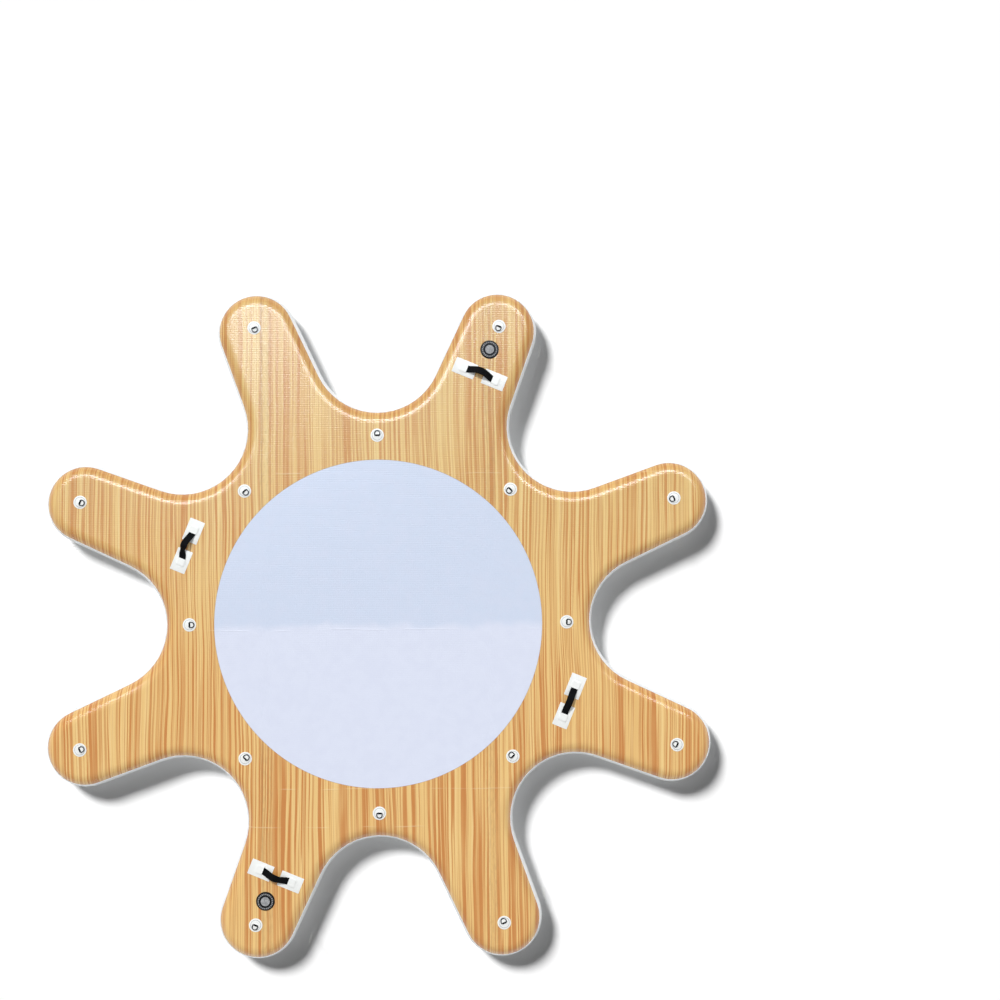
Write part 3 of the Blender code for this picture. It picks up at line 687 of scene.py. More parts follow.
def cut_valve_hole(made, at):
    """Cuts a round hole in the flat part of the deck."""
    for axis in (Vector((1, 0, 0)), Vector((0, 1, 0))):
        for reach in (-SQUARE_REACH, SQUARE_REACH):
            flats = [face for face in made.faces if on_flat(face)]
            parts = {part for face in flats for part in [*face.verts, *face.edges, face]}
            bmesh.ops.bisect_plane(made, geom=list(parts), plane_co=at + axis * reach, plane_no=axis)
    square = min(made.faces, key=lambda face: (face.calc_center_bounds().xy - at.xy).length)
    rim = list(square.edges)
    bmesh.ops.delete(made, geom=[square], context="FACES_ONLY")
    centre = Matrix.Translation((at.x, at.y, deck_height))
    circle = bmesh.ops.create_circle(made, radius=HOLE_RADIUS, segments=HOLE_STEPS, matrix=centre)["verts"]
    bmesh.ops.bridge_loops(made, edges=rim + edges_of(circle))


deck_shape = skin_sheet(1)
for at in valve_places:
    cut_valve_hole(deck_shape, at)
deck = finished("deck", mesh_from(deck_shape, "deck"), "deck_skin", wood_print)
give_wall(deck, SKIN_WALL)
underside = mesh_from(skin_sheet(-1), "underside", False)
underside = finished("underside", underside, "bottom_skin", underside_pvc)
give_wall(underside, SKIN_WALL)
print("deck has", len(deck.data.polygons), "faces")

# %% [markdown]
# ## Side band
#
# The band is a strip of white PVC glued over the edges of both skins. Its own edges are cut,
# not folded, so they stand proud by the thickness of the cloth, with a slight round.

# %% Side band
BAND_STEPS = 14
EDGE_ROUND = math.radians(0.5)
EDGE_DROP = 0.0005

band_shape = bmesh.new()
rail_edge = angle_at(RAIL_HEIGHT / 2)
outer_layer = SEAT_GAP + RAIL_WALL
top = rail_edge - EDGE_ROUND
angles = [top - 2 * top * step / BAND_STEPS for step in range(BAND_STEPS + 1)]
corners = [(SEAT_GAP, rail_edge), (outer_layer - EDGE_DROP, rail_edge)]
profile = corners + [(outer_layer, angle) for angle in angles]
profile += [(layer, -angle) for layer, angle in reversed(corners)]
profile += [(SEAT_GAP, -angle) for angle in angles[1:-1:2]]
loops = [side_loop(band_shape, layer, angle) for layer, angle in profile]
join_loops(band_shape, loops + [loops[0]])
finished("side_band", mesh_from(band_shape, "side_band"), "rail_band", band_pvc)
print("band is", RAIL_HEIGHT, "m high")

# %% [markdown]
# ## Seam tapes
#
# The underside is made of three panels, and a tape of the same white PVC is welded over each
# joint. A tape is a copy of the underside's own surface, one gap further out, that two cuts
# reduce to a strip. So it follows the shoulder without any fitting.

# %% Seam tapes
TAPE_WIDTH = 0.050
TAPE_WALL = 0.0008
TAPE_TO_BAND = 0.004

for side, node in ((-1, "seam_tape_left"), (1, "seam_tape_right")):
    tape_shape = skin_sheet(-1, SEAT_GAP, RAIL_HEIGHT / 2 + TAPE_TO_BAND)
    for outward in (-1, 1):
        bmesh.ops.bisect_plane(
            tape_shape, geom=[*tape_shape.verts, *tape_shape.edges, *tape_shape.faces],
            plane_co=(side * SEAM_PLACE + outward * TAPE_WIDTH / 2, 0, 0), plane_no=(outward, 0, 0),
            clear_outer=True
        )
    tape = finished(f"{node}_strip", mesh_from(tape_shape, node, False), node, tape_pvc)
    give_wall(tape, TAPE_WALL, 1.0)
print("tapes are", TAPE_WIDTH, "m wide")

# %% [markdown]
# ## Turned shapes
#
# Patches, valves and caps are round, so each starts as half a profile that is spun a full
# turn. Its sharp corners then get a small bevel, because nothing moulded or cut is perfectly
# sharp, and the bevel is what catches the light.

# %% Turned shapes
SHARPEST = math.radians(40)

def turned(made, profile, steps=48, closed=False):
    """Spins a profile of radius and height round the upright axis."""
    chain = [made.verts.new((radius, 0, height)) for radius, height in profile]
    pairs = list(zip(chain, chain[1:]))
    if closed:
        pairs.append((chain[-1], chain[0]))
    line = [made.edges.new(pair) for pair in pairs]
    bmesh.ops.spin(
        made, geom=chain + line, cent=(0, 0, 0), axis=Z_AXIS, angle=2 * math.pi, steps=steps, use_merge=True
    )
    bmesh.ops.remove_doubles(made, verts=made.verts, dist=1e-7)
    face_outwards(made)


def soften(made, offset):
    """Bevels every edge whose faces meet at a sharp angle."""
    edges = [edge for edge in made.edges if edge.is_manifold and edge.calc_face_angle() > SHARPEST]
    bmesh.ops.bevel(
        made, geom=edges, offset=offset, offset_type="OFFSET", affect="EDGES", segments=2,
        profile=0.5, material=-1, clamp_overlap=True
    )


def placed(mesh, name, at, turn, height):
    """A copy of a mesh that is turned and moved to its place."""
    copy = mesh.copy()
    copy.name = name
    copy.transform(Matrix.Translation((at.x, at.y, height)) @ Matrix.Rotation(turn, 4, "Z"))
    return copy


print("bevels start at", round(math.degrees(SHARPEST)), "degrees")

# %% [markdown]
# ## Metal and webbing
#
# The rings are polished stainless wire. Their colour is painted dark, a painted reflection
# of the dark side of a room, and it is mottled with faint scratches.

# %% Steel wire
steel, tree, shader = new_finish("steel", {"Roughness": 0.22, "Metallic": 1.0})
place = add_node(tree, "ShaderNodeTexCoord").outputs["Object"]
scratches = stretched_noise(tree, place, 900.0, 900.0, 3.0)
# painted reflection: the wire's colour is set dark for the dark room it would mirror
tone = mix_colours(tree, ramp(tree, scratches, 0.35, 0.70), shade(40, 41, 44), shade(64, 65, 69))
tree.links.new(tone, shader.inputs["Base Color"])
tree.links.new(scaled(tree, scratches, 0.20, 0.12), shader.inputs["Roughness"])
bump(tree, shader, scratches, 0.00004)
print("steel is ready")

# %% [markdown]
# The webbing is woven from black polyester. A chevron of ribs runs along the band, and it
# follows the band's own UV map. The tops of the ribs are painted paler, a painted highlight.

# %% Black webbing
WEBBING_RIBS_ACROSS = 9
WEBBING_PITCH = 0.0022
STRAP_UV_LENGTH = 0.19
LOOP_UV_LENGTH = 0.02


def webbing_finish(name, dark, worn, rib_top_highlight, length):
    """Woven band: U runs along it for this length in metres, V across it."""
    made, tree, shader = new_finish(name, {
        "Roughness": 0.62, "Specular IOR Level": 0.07, "Sheen Weight": 0.03, "Sheen Roughness": 0.4
    })
    uv = add_node(tree, "ShaderNodeTexCoord").outputs["UV"]
    uv = add_node(tree, "ShaderNodeSeparateXYZ", {0: uv}).outputs
    place = add_node(tree, "ShaderNodeTexCoord").outputs["Object"]
    across = times(tree, uv["Y"], WEBBING_RIBS_ACROSS)
    chevron = math_node(tree, "PINGPONG", across, 0.5)
    along = times(tree, uv["X"], length / WEBBING_PITCH)
    ribs = wave(tree, math_node(tree, "ADD", along, chevron), 1.0)
    rows = math_node(tree, "ABSOLUTE", wave(tree, across, 2.0))
    height = scaled(tree, ribs, 0.5, rows)
    fuzz = stretched_noise(tree, place, 300.0, 300.0, 2.0)
    tone = mix_colours(tree, ramp(tree, fuzz, 0.35, 0.75), shade(*dark), shade(*worn))
    # painted highlight: the tops of the ribs are painted paler
    tone = mix_colours(tree, times(tree, ramp(tree, height, 0.9, 1.5), 0.35), tone, shade(*rib_top_highlight))
    tree.links.new(tone, shader.inputs["Base Color"])
    bump(tree, shader, height, 0.0004)
    return made


webbing = webbing_finish("webbing", (4, 4, 5), (10, 10, 12), (20, 20, 22), STRAP_UV_LENGTH)
loop_webbing = webbing_finish("loop_webbing", (5, 5, 6), (12, 12, 14), (18, 18, 20), LOOP_UV_LENGTH)
print("webbing has", WEBBING_RIBS_ACROSS, "rows of ribs")

# %% [markdown]
# ## Ring patches
#
# Each ring is held by a round patch of two PVC discs welded on each other, and by a short
# loop of webbing over the ring's bar. The discs are one spun profile, and the faces of the weld
# round the upper disc are painted grey, as shade along its step. The loop is a small face spun
# half a turn over the bar, and its two ends are drawn down into the patch.

# %% Ring patches
PATCH_RADIUS = 0.0285
PATCH_WALL = 0.0012
PATCH_TOP_RADIUS = 0.0205
PATCH_TOP_WALL = 0.0010
WELD_WIDTH = 0.0016
WELD_RISE = 0.0002
PATCH_BEVEL = 0.0003
PATCH_STEPS = 56
LOOP_LENGTH = 0.0165
LOOP_WALL = 0.0012
LOOP_STEPS = 12
LARGEST_LOOP_FACE = 4e-5
WIRE_RADIUS = 0.002
BORE_RADIUS = WIRE_RADIUS + 0.0004
BAR_HEIGHT = PATCH_WALL + PATCH_TOP_WALL + BORE_RADIUS
SEAT_HEIGHT = deck_height + SEAT_GAP

patch_shape = bmesh.new()
patch_top = PATCH_WALL + PATCH_TOP_WALL
weld_edge = PATCH_TOP_RADIUS + WELD_WIDTH
turned(patch_shape, [
    (0, 0), (PATCH_RADIUS, 0), (PATCH_RADIUS, PATCH_WALL), (weld_edge, PATCH_WALL),
    (PATCH_TOP_RADIUS, PATCH_WALL + WELD_RISE), (PATCH_TOP_RADIUS - WELD_RISE, patch_top), (0, patch_top)
], PATCH_STEPS)
soften(patch_shape, PATCH_BEVEL)

grown = bmesh.ops.create_grid(patch_shape, x_segments=1, y_segments=1, size=0.5)["verts"]
bmesh.ops.scale(patch_shape, vec=(LOOP_LENGTH, LOOP_WALL, 1), verts=grown)
bmesh.ops.translate(patch_shape, vec=(0, BORE_RADIUS + LOOP_WALL / 2, BAR_HEIGHT), verts=grown)
face = grown[0].link_faces[0]
bmesh.ops.spin(
    patch_shape, geom=[*face.verts, *face.edges, face], cent=(0, 0, BAR_HEIGHT), axis=(1, 0, 0),
    angle=math.pi, steps=LOOP_STEPS
)
level = [face for face in patch_shape.faces if abs(face.calc_center_median().z - BAR_HEIGHT) < 1e-6]
drawn = bmesh.ops.extrude_discrete_faces(patch_shape, faces=level)["faces"]
foot = {vert for face in drawn for vert in face.verts}
bmesh.ops.translate(patch_shape, vec=(0, 0, PATCH_WALL - BAR_HEIGHT), verts=list(foot))
face_outwards(patch_shape)
for face in patch_shape.faces:
    middle = face.calc_center_median()
    near_bar = abs(middle.x) < LOOP_LENGTH / 2 + 1e-4 and abs(middle.y) < BORE_RADIUS + LOOP_WALL + 1e-4
    on_loop = near_bar and face.calc_area() < LARGEST_LOOP_FACE and middle.z > PATCH_WALL
    # painted shade: the weld faces round the upper disc get the grey shade finish
    on_painted_step_shade = PATCH_TOP_RADIUS < middle.xy.length < weld_edge and PATCH_WALL - 1e-6 < middle.z < patch_top
    face.material_index = 2 if on_painted_step_shade else int(on_loop)
patch_mesh = mesh_from(patch_shape, "ring_patch", False)
for finish in (patch_pvc, loop_webbing, step_shade_pvc):
    patch_mesh.materials.append(finish)
print("patch is", 2 * PATCH_RADIUS, "m across, with", len(patch_mesh.polygons), "faces")

# %% [markdown]
# ## D-rings
#
# A ring is one bent wire. The wire's round section starts in the middle of the bar, is drawn
# along it, spun round the corner, drawn up the side and spun over the arch. A mirror adds the
# other half, so the wire closes on itself without a seam.

# %% D-rings
RING_WIDTH = 0.0270
RING_DEPTH = 0.0235
CORNER_RADIUS = 0.003
WIRE_SIDES = 12
CORNER_STEPS = 5
ARCH_STEPS = 12
QUARTER = math.pi / 2

ring_shape = bmesh.new()
half_width = RING_WIDTH / 2 - WIRE_RADIUS
shoulder = RING_DEPTH - 2 * WIRE_RADIUS - half_width
upright = Matrix.Rotation(QUARTER, 4, "Y")
section = bmesh.ops.create_circle(
    ring_shape, radius=WIRE_RADIUS, segments=WIRE_SIDES, matrix=upright
)["verts"]


def draw_wire(end, offset):
    """Draws the wire's open end straight on."""
    edges = [part for part in end if isinstance(part, bmesh.types.BMEdge)]
    grown = bmesh.ops.extrude_edge_only(ring_shape, edges=edges)["geom"]
    verts = [part for part in grown if isinstance(part, bmesh.types.BMVert)]
    bmesh.ops.translate(ring_shape, vec=offset, verts=verts)
    return verts + [edge for edge in edges_of(verts) if all(vert in verts for vert in edge.verts)]


def bend_wire(end, x, y, steps):
    """Bends the wire's open end a quarter turn round a centre."""
    bent = bmesh.ops.spin(ring_shape, geom=end, cent=(x, y, 0), axis=Z_AXIS, angle=QUARTER, steps=steps)
    return bent["geom_last"]


end = draw_wire(section + edges_of(section), (half_width - CORNER_RADIUS, 0, 0))
end = bend_wire(end, half_width - CORNER_RADIUS, CORNER_RADIUS, CORNER_STEPS)
end = draw_wire(end, (0, shoulder - CORNER_RADIUS, 0))
bend_wire(end, 0, shoulder, ARCH_STEPS)
whole = [*ring_shape.verts, *ring_shape.edges, *ring_shape.faces]
bmesh.ops.mirror(ring_shape, geom=whole, matrix=Matrix.Identity(4), merge_dist=1e-6, axis="X")
bmesh.ops.remove_doubles(ring_shape, verts=ring_shape.verts, dist=1e-6)
ring_mesh = mesh_from(ring_shape, "d_ring")
print("ring has", len(ring_mesh.polygons), "faces")

# %% [markdown]
# One ring sits near each tip and one above each valley. Most of them point to the middle of
# the platform. A ring turns about its bar, so it rides on its own body.

# %% Sixteen rings in their places
TIP_RING_PLACE = 1.372
VALLEY_RING_PLACE = 0.803
OUTWARD_RINGS = {"tip_ring_6", "valley_ring_1", "valley_ring_3", "valley_ring_7"}

for number in range(1, ARM_COUNT + 1):
    spots = (
        ("tip_ring", TIP_RING_PLACE, (2 * number - 1) * HALF_ARM),
        ("valley_ring", VALLEY_RING_PLACE, (number - 1) * 2 * HALF_ARM),
    )
    for kind, distance, angle in spots:
        node = f"{kind}_{number}"
        at = polar(distance, angle)
        turn = angle - QUARTER if node in OUTWARD_RINGS else angle + QUARTER
        discs = placed(patch_mesh, node, at, turn, SEAT_HEIGHT)
        finished(f"{node}_discs", discs, f"{node}_patch", patch_pvc)
        wire = placed(ring_mesh, f"{node}_wire", at, turn, SEAT_HEIGHT + BAR_HEIGHT)
        finished(f"{node}_wire", wire, node, steel, 80)
print(2 * ARM_COUNT, "rings")

# %% [markdown]
# ## Handle patches
#
# Each end of a handle goes into a pocket: a flat rectangle of PVC, and a half-oval cover
# welded over the end of the strap. The cover is a row of points spun half a turn into a half
# disc, stretched to an oval, and then lifted where the strap lies under it.

# %% Handle patches
HANDLE_LENGTH = 0.099
HANDLE_WIDTH = 0.0665
HANDLE_WALL = 0.0012
HANDLE_CORNER = 0.002
HANDLE_SPACING = 0.036
POCKET_INSET = 0.040
POCKET_LENGTH = 0.028
STRAP_WIDTH = 0.029
STRAP_WALL = 0.0024
COVER_LENGTH = 0.041
COVER_HALF_WIDTH = 0.0245
COVER_WALL = 0.0012
COVER_SLOPE = 0.0065
COVER_RINGS = 14
COVER_STEPS = 28


def smooth_step(share):
    """A soft ramp from 0 to 1."""
    share = min(max(share, 0.0), 1.0)
    return share * share * (3 - 2 * share)


def cover_lift(x, y):
    """How far the strap's end lifts the cover here, measured from the pocket's mouth."""
    away = math.hypot(max(0.0, x - POCKET_LENGTH), max(0.0, abs(y) - STRAP_WIDTH / 2))
    return (STRAP_WALL + 2 * SEAT_GAP) * smooth_step(1 - away / COVER_SLOPE)


def join_shapes(made, other, name):
    """One mesh of two shapes."""
    mesh = mesh_from(other, name, False)
    made.from_mesh(mesh)
    bpy.data.meshes.remove(mesh)
    return mesh_from(made, name, False)


plate_shape = bmesh.new()
corners = bmesh.ops.create_cube(plate_shape, size=1)["verts"]
bmesh.ops.scale(plate_shape, vec=(HANDLE_LENGTH, HANDLE_WIDTH, HANDLE_WALL), verts=corners)
bmesh.ops.translate(plate_shape, vec=(HANDLE_LENGTH / 2, 0, HANDLE_WALL / 2), verts=corners)
upright = [edge for edge in plate_shape.edges if abs(edge.verts[0].co.z - edge.verts[1].co.z) > 1e-5]
bmesh.ops.bevel(
    plate_shape, geom=upright, offset=HANDLE_CORNER, affect="EDGES", segments=3, profile=0.5, material=-1
)
soften(plate_shape, PATCH_BEVEL)

cover_shape = bmesh.new()
row = [cover_shape.verts.new((0, -share / COVER_RINGS, 0)) for share in range(COVER_RINGS + 1)]
line = [cover_shape.edges.new(pair) for pair in zip(row, row[1:])]
bmesh.ops.spin(
    cover_shape, geom=row + line, cent=(0, 0, 0), axis=Z_AXIS, angle=math.pi, steps=COVER_STEPS
)
bmesh.ops.remove_doubles(cover_shape, verts=cover_shape.verts, dist=1e-6)
bmesh.ops.scale(cover_shape, vec=(COVER_LENGTH, COVER_HALF_WIDTH, 1), verts=cover_shape.verts)
for vert in cover_shape.verts:
    vert.co.z = HANDLE_WALL + cover_lift(vert.co.x, vert.co.y)
face_outwards(cover_shape)
if sum(face.normal.z for face in cover_shape.faces) < 0:
    bmesh.ops.reverse_faces(cover_shape, faces=cover_shape.faces)
bmesh.ops.solidify(cover_shape, geom=cover_shape.faces[:], thickness=-COVER_WALL)
face_outwards(cover_shape)
bmesh.ops.translate(cover_shape, vec=(POCKET_INSET, 0, 0), verts=cover_shape.verts)
handle_patch_mesh = join_shapes(plate_shape, cover_shape, "handle_patch")
heights = [1000 * vert.co.z for vert in handle_patch_mesh.vertices]
print("handle patch is", round(max(heights), 2), "mm high, lowest", round(min(heights), 2))

# %% [markdown]
# ## Handle straps
#
# A strap is a flat band of webbing with both ends in the pockets. Between them it arches up,
# and it leans to one side, because a band that was packed flat never stands quite upright.
# It starts as a flat grid with a UV map, and one formula bends it, so the weave follows it.

# %% Handle straps
STRAP_RISE = 0.028
STRAP_SEGMENTS = (72, 6)
HANDLES = (  # name, arm, distance from the middle, lean in metres, twist in radians
    ("handle_outer_right", 2, 1.150, 0.012, 0.00),
    ("handle_inner_left", 4, 0.878, 0.011, -1.50),
    ("handle_inner_right", 8, 0.878, -0.002, 0.00),
    ("handle_outer_left", 6, 1.150, 0.005, 0.50),
)
MOUTH = HANDLE_SPACING / 2 + POCKET_INSET
STRAP_REST = HANDLE_WALL + SEAT_GAP + STRAP_WALL / 2


def bend_strap(point, lean, twist):
    """Moves a point of the flat band, given by the way along and across it, onto the arch."""
    along, across = point.x, point.y
    share = (1 + math.cos(math.pi * along / MOUTH)) / 2 if abs(along) < MOUTH else 0.0
    tilt = twist * max(0.0, -math.sin(math.pi * along / MOUTH)) * share
    height = STRAP_REST + STRAP_RISE * share - across * math.sin(tilt)
    return Vector((along, lean * share ** 0.6 + across * math.cos(tilt), height))


for name, arm, distance, lean, twist in HANDLES:
    angle = (2 * arm - 1) * HALF_ARM
    at = polar(distance, angle)
    turn = angle - QUARTER
    flat = bmesh.new()
    flat.loops.layers.uv.new("UVMap")
    along, across = STRAP_SEGMENTS
    bmesh.ops.create_grid(flat, x_segments=along, y_segments=across, size=0.5, calc_uvs=True)
    bmesh.ops.scale(flat, vec=(2 * (MOUTH + POCKET_LENGTH), STRAP_WIDTH, 1), verts=flat.verts)
    for vert in flat.verts:
        vert.co = bend_strap(vert.co, lean, twist)
    arch = placed(mesh_from(flat, name, False), name, at, turn, SEAT_HEIGHT)
    strap = finished(f"{name}_band", arch, f"{name}_strap", webbing, 60)
    give_wall(strap, STRAP_WALL, 0.0)
    for side, facing in (("a", 0.0), ("b", math.pi)):
        edge = at + polar(HANDLE_SPACING / 2, turn + facing)
        patch = placed(handle_patch_mesh, f"{name}_{side}", edge, turn + facing, SEAT_HEIGHT)
        finished(f"{name}_pocket_{side}", patch, f"{name}_patch_{side}", patch_pvc)
print(len(HANDLES), "handles")

# %% [markdown]
# ## Plastics
#
# The valve is moulded from tough black plastic with a fine matt texture. Its cap is dark grey,
# and the parts that hands touch are worn to a paler grey. The poppet inside is white.

# %% Plastics
MOULD_TEXTURE = 0.00003


def moulded(name, tone, worn, roughness):
    """Moulded plastic with a fine matt texture and paler worn clouds."""
    made, tree, shader = new_finish(name, {"Roughness": roughness, "Specular IOR Level": 0.18})
    place = add_node(tree, "ShaderNodeTexCoord").outputs["Object"]
    cloud = ramp(tree, stretched_noise(tree, place, 160.0, 160.0, 3.0), 0.42, 0.72)
    tree.links.new(mix_colours(tree, cloud, shade(*tone), shade(*worn)), shader.inputs["Base Color"])
    tree.links.new(scaled(tree, cloud, 0.12, roughness - 0.04), shader.inputs["Roughness"])
    bump(tree, shader, stretched_noise(tree, place, 2600.0, 2600.0, 2.0, seed=3.0), MOULD_TEXTURE)
    return made


black_plastic = moulded("black_plastic", (5, 6, 7), (12, 13, 15), 0.42)
cap_plastic = moulded("cap_plastic", (9, 10, 12), (18, 19, 22), 0.48)
worn_plastic = moulded("worn_plastic", (140, 141, 144), (182, 183, 185), 0.50)
white_plastic = moulded("white_plastic", (226, 227, 226), (212, 214, 214), 0.38)
print("four plastics")

# %% [markdown]
# ## Valve body
#
# The body is one turned shape: a flat flange on the deck, a barrel through it, and a floor.
# The floor is open between its spokes, so that air can pass round the poppet. For the
# openings, every second face of a ring in the floor is inset, and its middle is taken out.

# %% Valve body
FLANGE_RADIUS = 0.0395
FLANGE_WALL = 0.0030
FLANGE_EDGE = 0.0016
BARREL_RADIUS = 0.0270
BARREL_WALL = 0.0030
BARREL_DEPTH = 0.040
FLOOR_WALL = 0.003
STEM_BORE = 0.0034
OPENING_INNER = 0.0058
OPENING_OUTER = 0.0142
SPOKE_INSET = 0.0006
VALVE_STEPS = 60
FLOOR_STEPS = 24

mouth = BARREL_RADIUS - BARREL_WALL
flange_top = SEAT_GAP + FLANGE_WALL
floor_top = FLOOR_WALL - BARREL_DEPTH

def way_round(face):
    """Direction of a face's middle round the upright axis."""
    middle = face.calc_center_median()
    return math.atan2(middle.y, middle.x)


def ring_of_faces(made, inner, outer):
    """The faces whose middles lie between two radii, in their order round the axis."""
    found = [face for face in made.faces if inner < face.calc_center_median().xy.length < outer]
    return sorted(found, key=way_round)


valve_shape = bmesh.new()
turned(valve_shape, [
    (mouth, floor_top), (mouth, flange_top), (FLANGE_RADIUS - FLANGE_EDGE, flange_top),
    (FLANGE_RADIUS, flange_top - FLANGE_EDGE), (FLANGE_RADIUS, SEAT_GAP), (BARREL_RADIUS, SEAT_GAP),
    (BARREL_RADIUS, -BARREL_DEPTH), (mouth, -BARREL_DEPTH)
], VALVE_STEPS, closed=True)
soften(valve_shape, 0.0005)

floor_shape = bmesh.new()
radii = (STEM_BORE, OPENING_INNER, OPENING_OUTER, mouth + 0.0004)
turned(floor_shape, [(radius, 0) for radius in radii], FLOOR_STEPS)
ring_faces = ring_of_faces(floor_shape, OPENING_INNER, OPENING_OUTER)
for first, second in zip(ring_faces[::4], ring_faces[1::4]):
    shared = [edge for edge in first.edges if edge in second.edges]
    bmesh.ops.dissolve_edges(floor_shape, edges=shared, use_verts=False)
wide = [face for face in floor_shape.faces if len(face.verts) > 4]
bmesh.ops.inset_individual(floor_shape, faces=wide, thickness=SPOKE_INSET)
bmesh.ops.delete(floor_shape, geom=wide, context="FACES")
face_outwards(floor_shape)
bmesh.ops.solidify(floor_shape, geom=floor_shape.faces[:], thickness=FLOOR_WALL)
highest = max(vert.co.z for vert in floor_shape.verts)
bmesh.ops.translate(floor_shape, vec=(0, 0, floor_top - highest), verts=floor_shape.verts)
face_outwards(floor_shape)
body_mesh = join_shapes(valve_shape, floor_shape, "valve_body")
print("valve floor has", len(wide), "openings")

# %% [markdown]
# ## Valve cap
#
# The cap is turned as well. Fine ribs round its rim give fingers a grip: two of every three
# faces of the rim's ring are inset and lifted at once. Its middle is a low plain disc.

# %% Valve cap
CAP_RADIUS = 0.0345
CAP_WALL = 0.0030
DOME_RADIUS = 0.0205
DOME_RISE = 0.0016
PLUG_WALL = 0.0025
PLUG_DEPTH = 0.010
RIB_INNER = 0.0268
RIB_OUTER = 0.0332
RIB_RISE = 0.0007
RIB_INSET = 0.0003
CAP_EDGE = 0.0008
CAP_STEPS = 72

cap_shape = bmesh.new()
under = 2 * SEAT_GAP + FLANGE_WALL
cap_top = under + CAP_WALL
dome_top = cap_top + DOME_RISE
plug = mouth - SEAT_GAP
turned(cap_shape, [
    (0, under), (plug - PLUG_WALL, under), (plug - PLUG_WALL, under - PLUG_DEPTH),
    (plug, under - PLUG_DEPTH), (plug, under), (CAP_RADIUS, under),
    (CAP_RADIUS, cap_top - CAP_EDGE), (CAP_RADIUS - CAP_EDGE, cap_top),
    (RIB_OUTER, cap_top), (RIB_INNER, cap_top),
    (RIB_INNER - 0.001, cap_top - CAP_EDGE), (DOME_RADIUS + 0.001, cap_top - CAP_EDGE),
    (DOME_RADIUS, cap_top), (DOME_RADIUS - DOME_RISE, dome_top), (DOME_RADIUS - 0.0035, dome_top),
    (DOME_RADIUS - 0.0040, dome_top - 0.0004), (0, dome_top - 0.0002)
], CAP_STEPS)

rib_ring = [face for face in ring_of_faces(cap_shape, RIB_INNER, RIB_OUTER) if face.normal.z > 0.99]
ribs = [face for number, face in enumerate(rib_ring) if number % 3]
bmesh.ops.inset_individual(cap_shape, faces=ribs, thickness=RIB_INSET, depth=RIB_RISE)
face_outwards(cap_shape)
for face in cap_shape.faces:
    middle = face.calc_center_median()
    on_dome = middle.xy.length < DOME_RADIUS - DOME_RISE and middle.z > cap_top
    face.material_index = 1 if face in ribs or on_dome else 0
cap_mesh = mesh_from(cap_shape, "valve_cap", False)
cap_mesh.materials.append(cap_plastic)
cap_mesh.materials.append(worn_plastic)
print("cap has", len(ribs), "ribs")

# %% [markdown]
# ## Inside the valve
#
# A nut clamps the flange from below, and a poppet closes the floor from below. A spring
# round the poppet's stem pulls it shut. The spring is a small circle spun five turns while it
# climbs, which is what the operator's offset is for.

# %% Nut, poppet and spring
NUT_RADIUS = 0.0348
NUT_WALL = 0.0025
HUB_RADIUS = 0.0315
HUB_HEIGHT = 0.0070
POPPET_RADIUS = 0.0175
POPPET_WALL = 0.003
STEM_RADIUS = 0.003
BUTTON_RADIUS = 0.0085
SPRING_LENGTH = 0.017
SPRING_RADIUS = 0.0060
SPRING_WIRE = 0.0006
SPRING_COILS = 5
STEPS_PER_COIL = 24

nut_shape = bmesh.new()
nut_top = -2 * SKIN_WALL - 2 * SEAT_GAP
nut_bore = BARREL_RADIUS + SEAT_GAP
turned(nut_shape, [
    (nut_bore, nut_top), (NUT_RADIUS, nut_top), (NUT_RADIUS, nut_top - NUT_WALL),
    (HUB_RADIUS, nut_top - NUT_WALL), (HUB_RADIUS, nut_top - HUB_HEIGHT), (nut_bore, nut_top - HUB_HEIGHT)
], 48, closed=True)
soften(nut_shape, 0.0004)
nut_mesh = mesh_from(nut_shape, "valve_nut", False)

poppet_shape = bmesh.new()
disc_top = -BARREL_DEPTH - SEAT_GAP
button_low = floor_top + SPRING_LENGTH
button_top = button_low + POPPET_WALL
turned(poppet_shape, [
    (0, disc_top - POPPET_WALL), (POPPET_RADIUS, disc_top - POPPET_WALL), (POPPET_RADIUS, disc_top),
    (STEM_RADIUS, disc_top), (STEM_RADIUS, button_low), (BUTTON_RADIUS, button_low),
    (BUTTON_RADIUS, button_top), (0, button_top)
], 40)
soften(poppet_shape, 0.0005)
poppet_mesh = mesh_from(poppet_shape, "poppet", False)

spring_shape = bmesh.new()
spring_low = floor_top + SEAT_GAP + SPRING_WIRE
spring_rise = SPRING_LENGTH - 2 * SEAT_GAP - 2 * SPRING_WIRE
start = Matrix.Translation((SPRING_RADIUS, 0, spring_low)) @ Matrix.Rotation(QUARTER, 4, "X")
bmesh.ops.create_circle(spring_shape, radius=SPRING_WIRE, segments=8, cap_ends=True, matrix=start)
parts = [*spring_shape.verts, *spring_shape.edges, *spring_shape.faces]
turns = SPRING_COILS * STEPS_PER_COIL
bmesh.ops.spin(
    spring_shape, geom=parts, cent=(0, 0, 0), axis=Z_AXIS, dvec=(0, 0, spring_rise / turns),
    angle=2 * math.pi * SPRING_COILS, steps=turns
)
spring_mesh = mesh_from(spring_shape, "valve_spring")
print("spring has", len(spring_mesh.polygons), "faces")
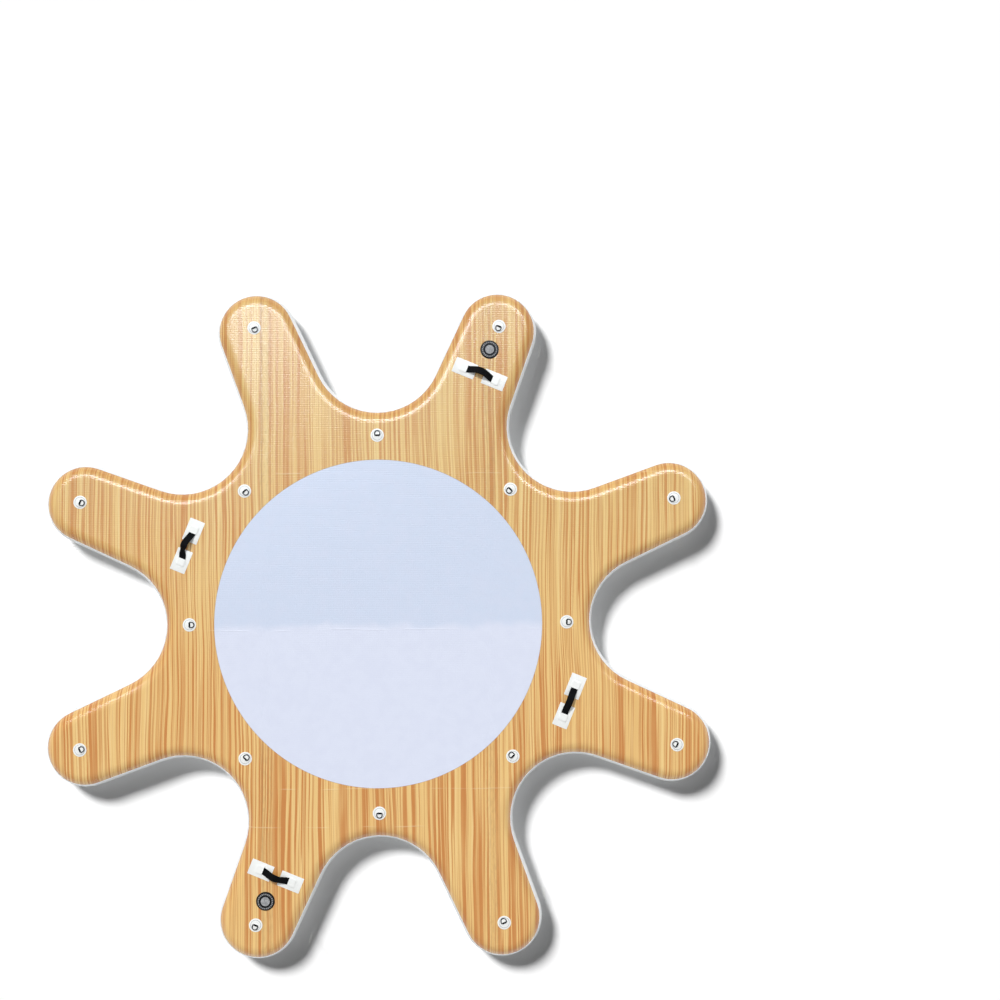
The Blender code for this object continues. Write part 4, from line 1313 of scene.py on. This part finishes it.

# %% [markdown]
# A press on the poppet squeezes the spring. The spring stands on the valve's floor and reaches
# up under the poppet's button. Here it is placed once, as a fixed shape that rides on no body.

# %% Two valves in their places
for number, at in enumerate(valve_places, 1):
    pieces = (
        ("body", body_mesh, black_plastic, "black_plastic"),
        ("nut", nut_mesh, black_plastic, "black_plastic"),
        ("poppet", poppet_mesh, white_plastic, "white_plastic"),
        ("spring", spring_mesh, steel, "steel_wire"),
        ("cap", cap_mesh, cap_plastic, "grey_plastic"),
    )
    spring_ends = [(at.x, at.y, deck_height + end) for end in (floor_top + SEAT_GAP, button_low - SEAT_GAP)]
    for piece, mesh, finish, slot in pieces:
        node = f"valve_{number}_{piece}"
        stretch = (f"valve_{number}_poppet", *spring_ends) if piece == "spring" else None
        shape = placed(mesh, node, at, 0.0, deck_height)
        finished(f"{node}_shape", shape, node, finish, stretch=stretch)
print(len(valve_places), "valves")

# %% [markdown]
# ## Drop-stitch core
#
# Inside the body two woven cloths are held apart by thousands of threads, which is why it
# stays flat under pressure. The cloths are sheets on the star outline. A thread is a thin
# four-sided rod, and one is made at every spot inside the outline.

# %% Cloth and thread
CLOTH_PITCH = 0.0024

cloth, tree, shader = new_finish("core_cloth", {"Roughness": 0.85})
axes = object_place(tree)[1]
over_under = times(tree, wave(tree, axes["X"], CLOTH_PITCH), wave(tree, axes["Y"], CLOTH_PITCH))
tone = mix_colours(tree, ramp(tree, over_under, -0.6, 0.6), shade(214, 212, 204), shade(232, 231, 226))
tree.links.new(tone, shader.inputs["Base Color"])
bump(tree, shader, over_under, 0.0003)


def inside_outline(x, y, inset):
    """Whether a point lies inside the outline by at least this much."""
    turn = HALF_ARM - abs((math.atan2(y, x) + HALF_ARM) % (2 * HALF_ARM) - HALF_ARM)
    spot = polar(math.hypot(x, y), turn)
    from_tip = spot - tip_centre
    from_valley = spot - valley_centre
    if from_tip.length > 0 and abs(math.atan2(from_tip.y, from_tip.x)) < FLANK:
        return from_tip.length < TIP_RADIUS - inset
    if math.atan2(-from_valley.y, -from_valley.x) > FLANK and from_valley.length < 2 * VALLEY_RADIUS:
        return from_valley.length > VALLEY_RADIUS + inset
    return from_tip.dot(Vector((math.cos(FLANK), math.sin(FLANK), 0))) < TIP_RADIUS - inset


print("middle is inside:", inside_outline(0.1, 0.1, 0.06))
print("bay is outside:", not inside_outline(0.0, 1.2, 0.06))

# %% [markdown]
# The rows stand 100 mm apart and the rods in a row 12.5 mm, far fewer than the real threads.
# The room round each valve stays free, as it does in the real core.

# %% Drop-stitch core
ROW_PITCH = 0.100
THREAD_PITCH_ALONG = 0.0125
THREAD_RADIUS = 0.0005
CLOTH_WALL = 0.0015
ROOM_TO_NUT = 0.002
ROOM_TO_SIDE = 0.003

core_shape = bmesh.new()
cloth_low = deck_height - BODY_THICKNESS + SKIN_WALL + SEAT_GAP
cloth_high = deck_height - SKIN_WALL - SEAT_GAP
for low in (cloth_low, cloth_high - CLOTH_WALL):
    edge_pair = [star_loop(core_shape, FLAT_INSET, low), star_loop(core_shape, FLAT_INSET, low + CLOTH_WALL)]
    join_loops(core_shape, edge_pair)
    for loop in edge_pair:
        bmesh.ops.contextual_create(core_shape, geom=loop)
face_outwards(core_shape)

thread_height = cloth_high - cloth_low - 2 * CLOTH_WALL
thread_middle = (cloth_low + cloth_high) / 2
rows = math.ceil(TIP_REACH / ROW_PITCH)
spots = math.ceil(TIP_REACH / THREAD_PITCH_ALONG)
count = 0
for row in range(-rows, rows + 1):
    for spot in range(-spots, spots + 1):
        x, y = row * ROW_PITCH, spot * THREAD_PITCH_ALONG
        near_valve = any(math.hypot(x - at.x, y - at.y) < NUT_RADIUS + ROOM_TO_NUT for at in valve_places)
        if near_valve or not inside_outline(x, y, FLAT_INSET + ROOM_TO_SIDE):
            continue
        bmesh.ops.create_cone(
            core_shape, cap_ends=True, segments=4, radius1=THREAD_RADIUS, radius2=THREAD_RADIUS,
            depth=thread_height, matrix=Matrix.Translation((x, y, thread_middle))
        )
        count += 1
finished("core", mesh_from(core_shape, "core", False), "drop_stitch_core", cloth)
print("core has", count, "threads")
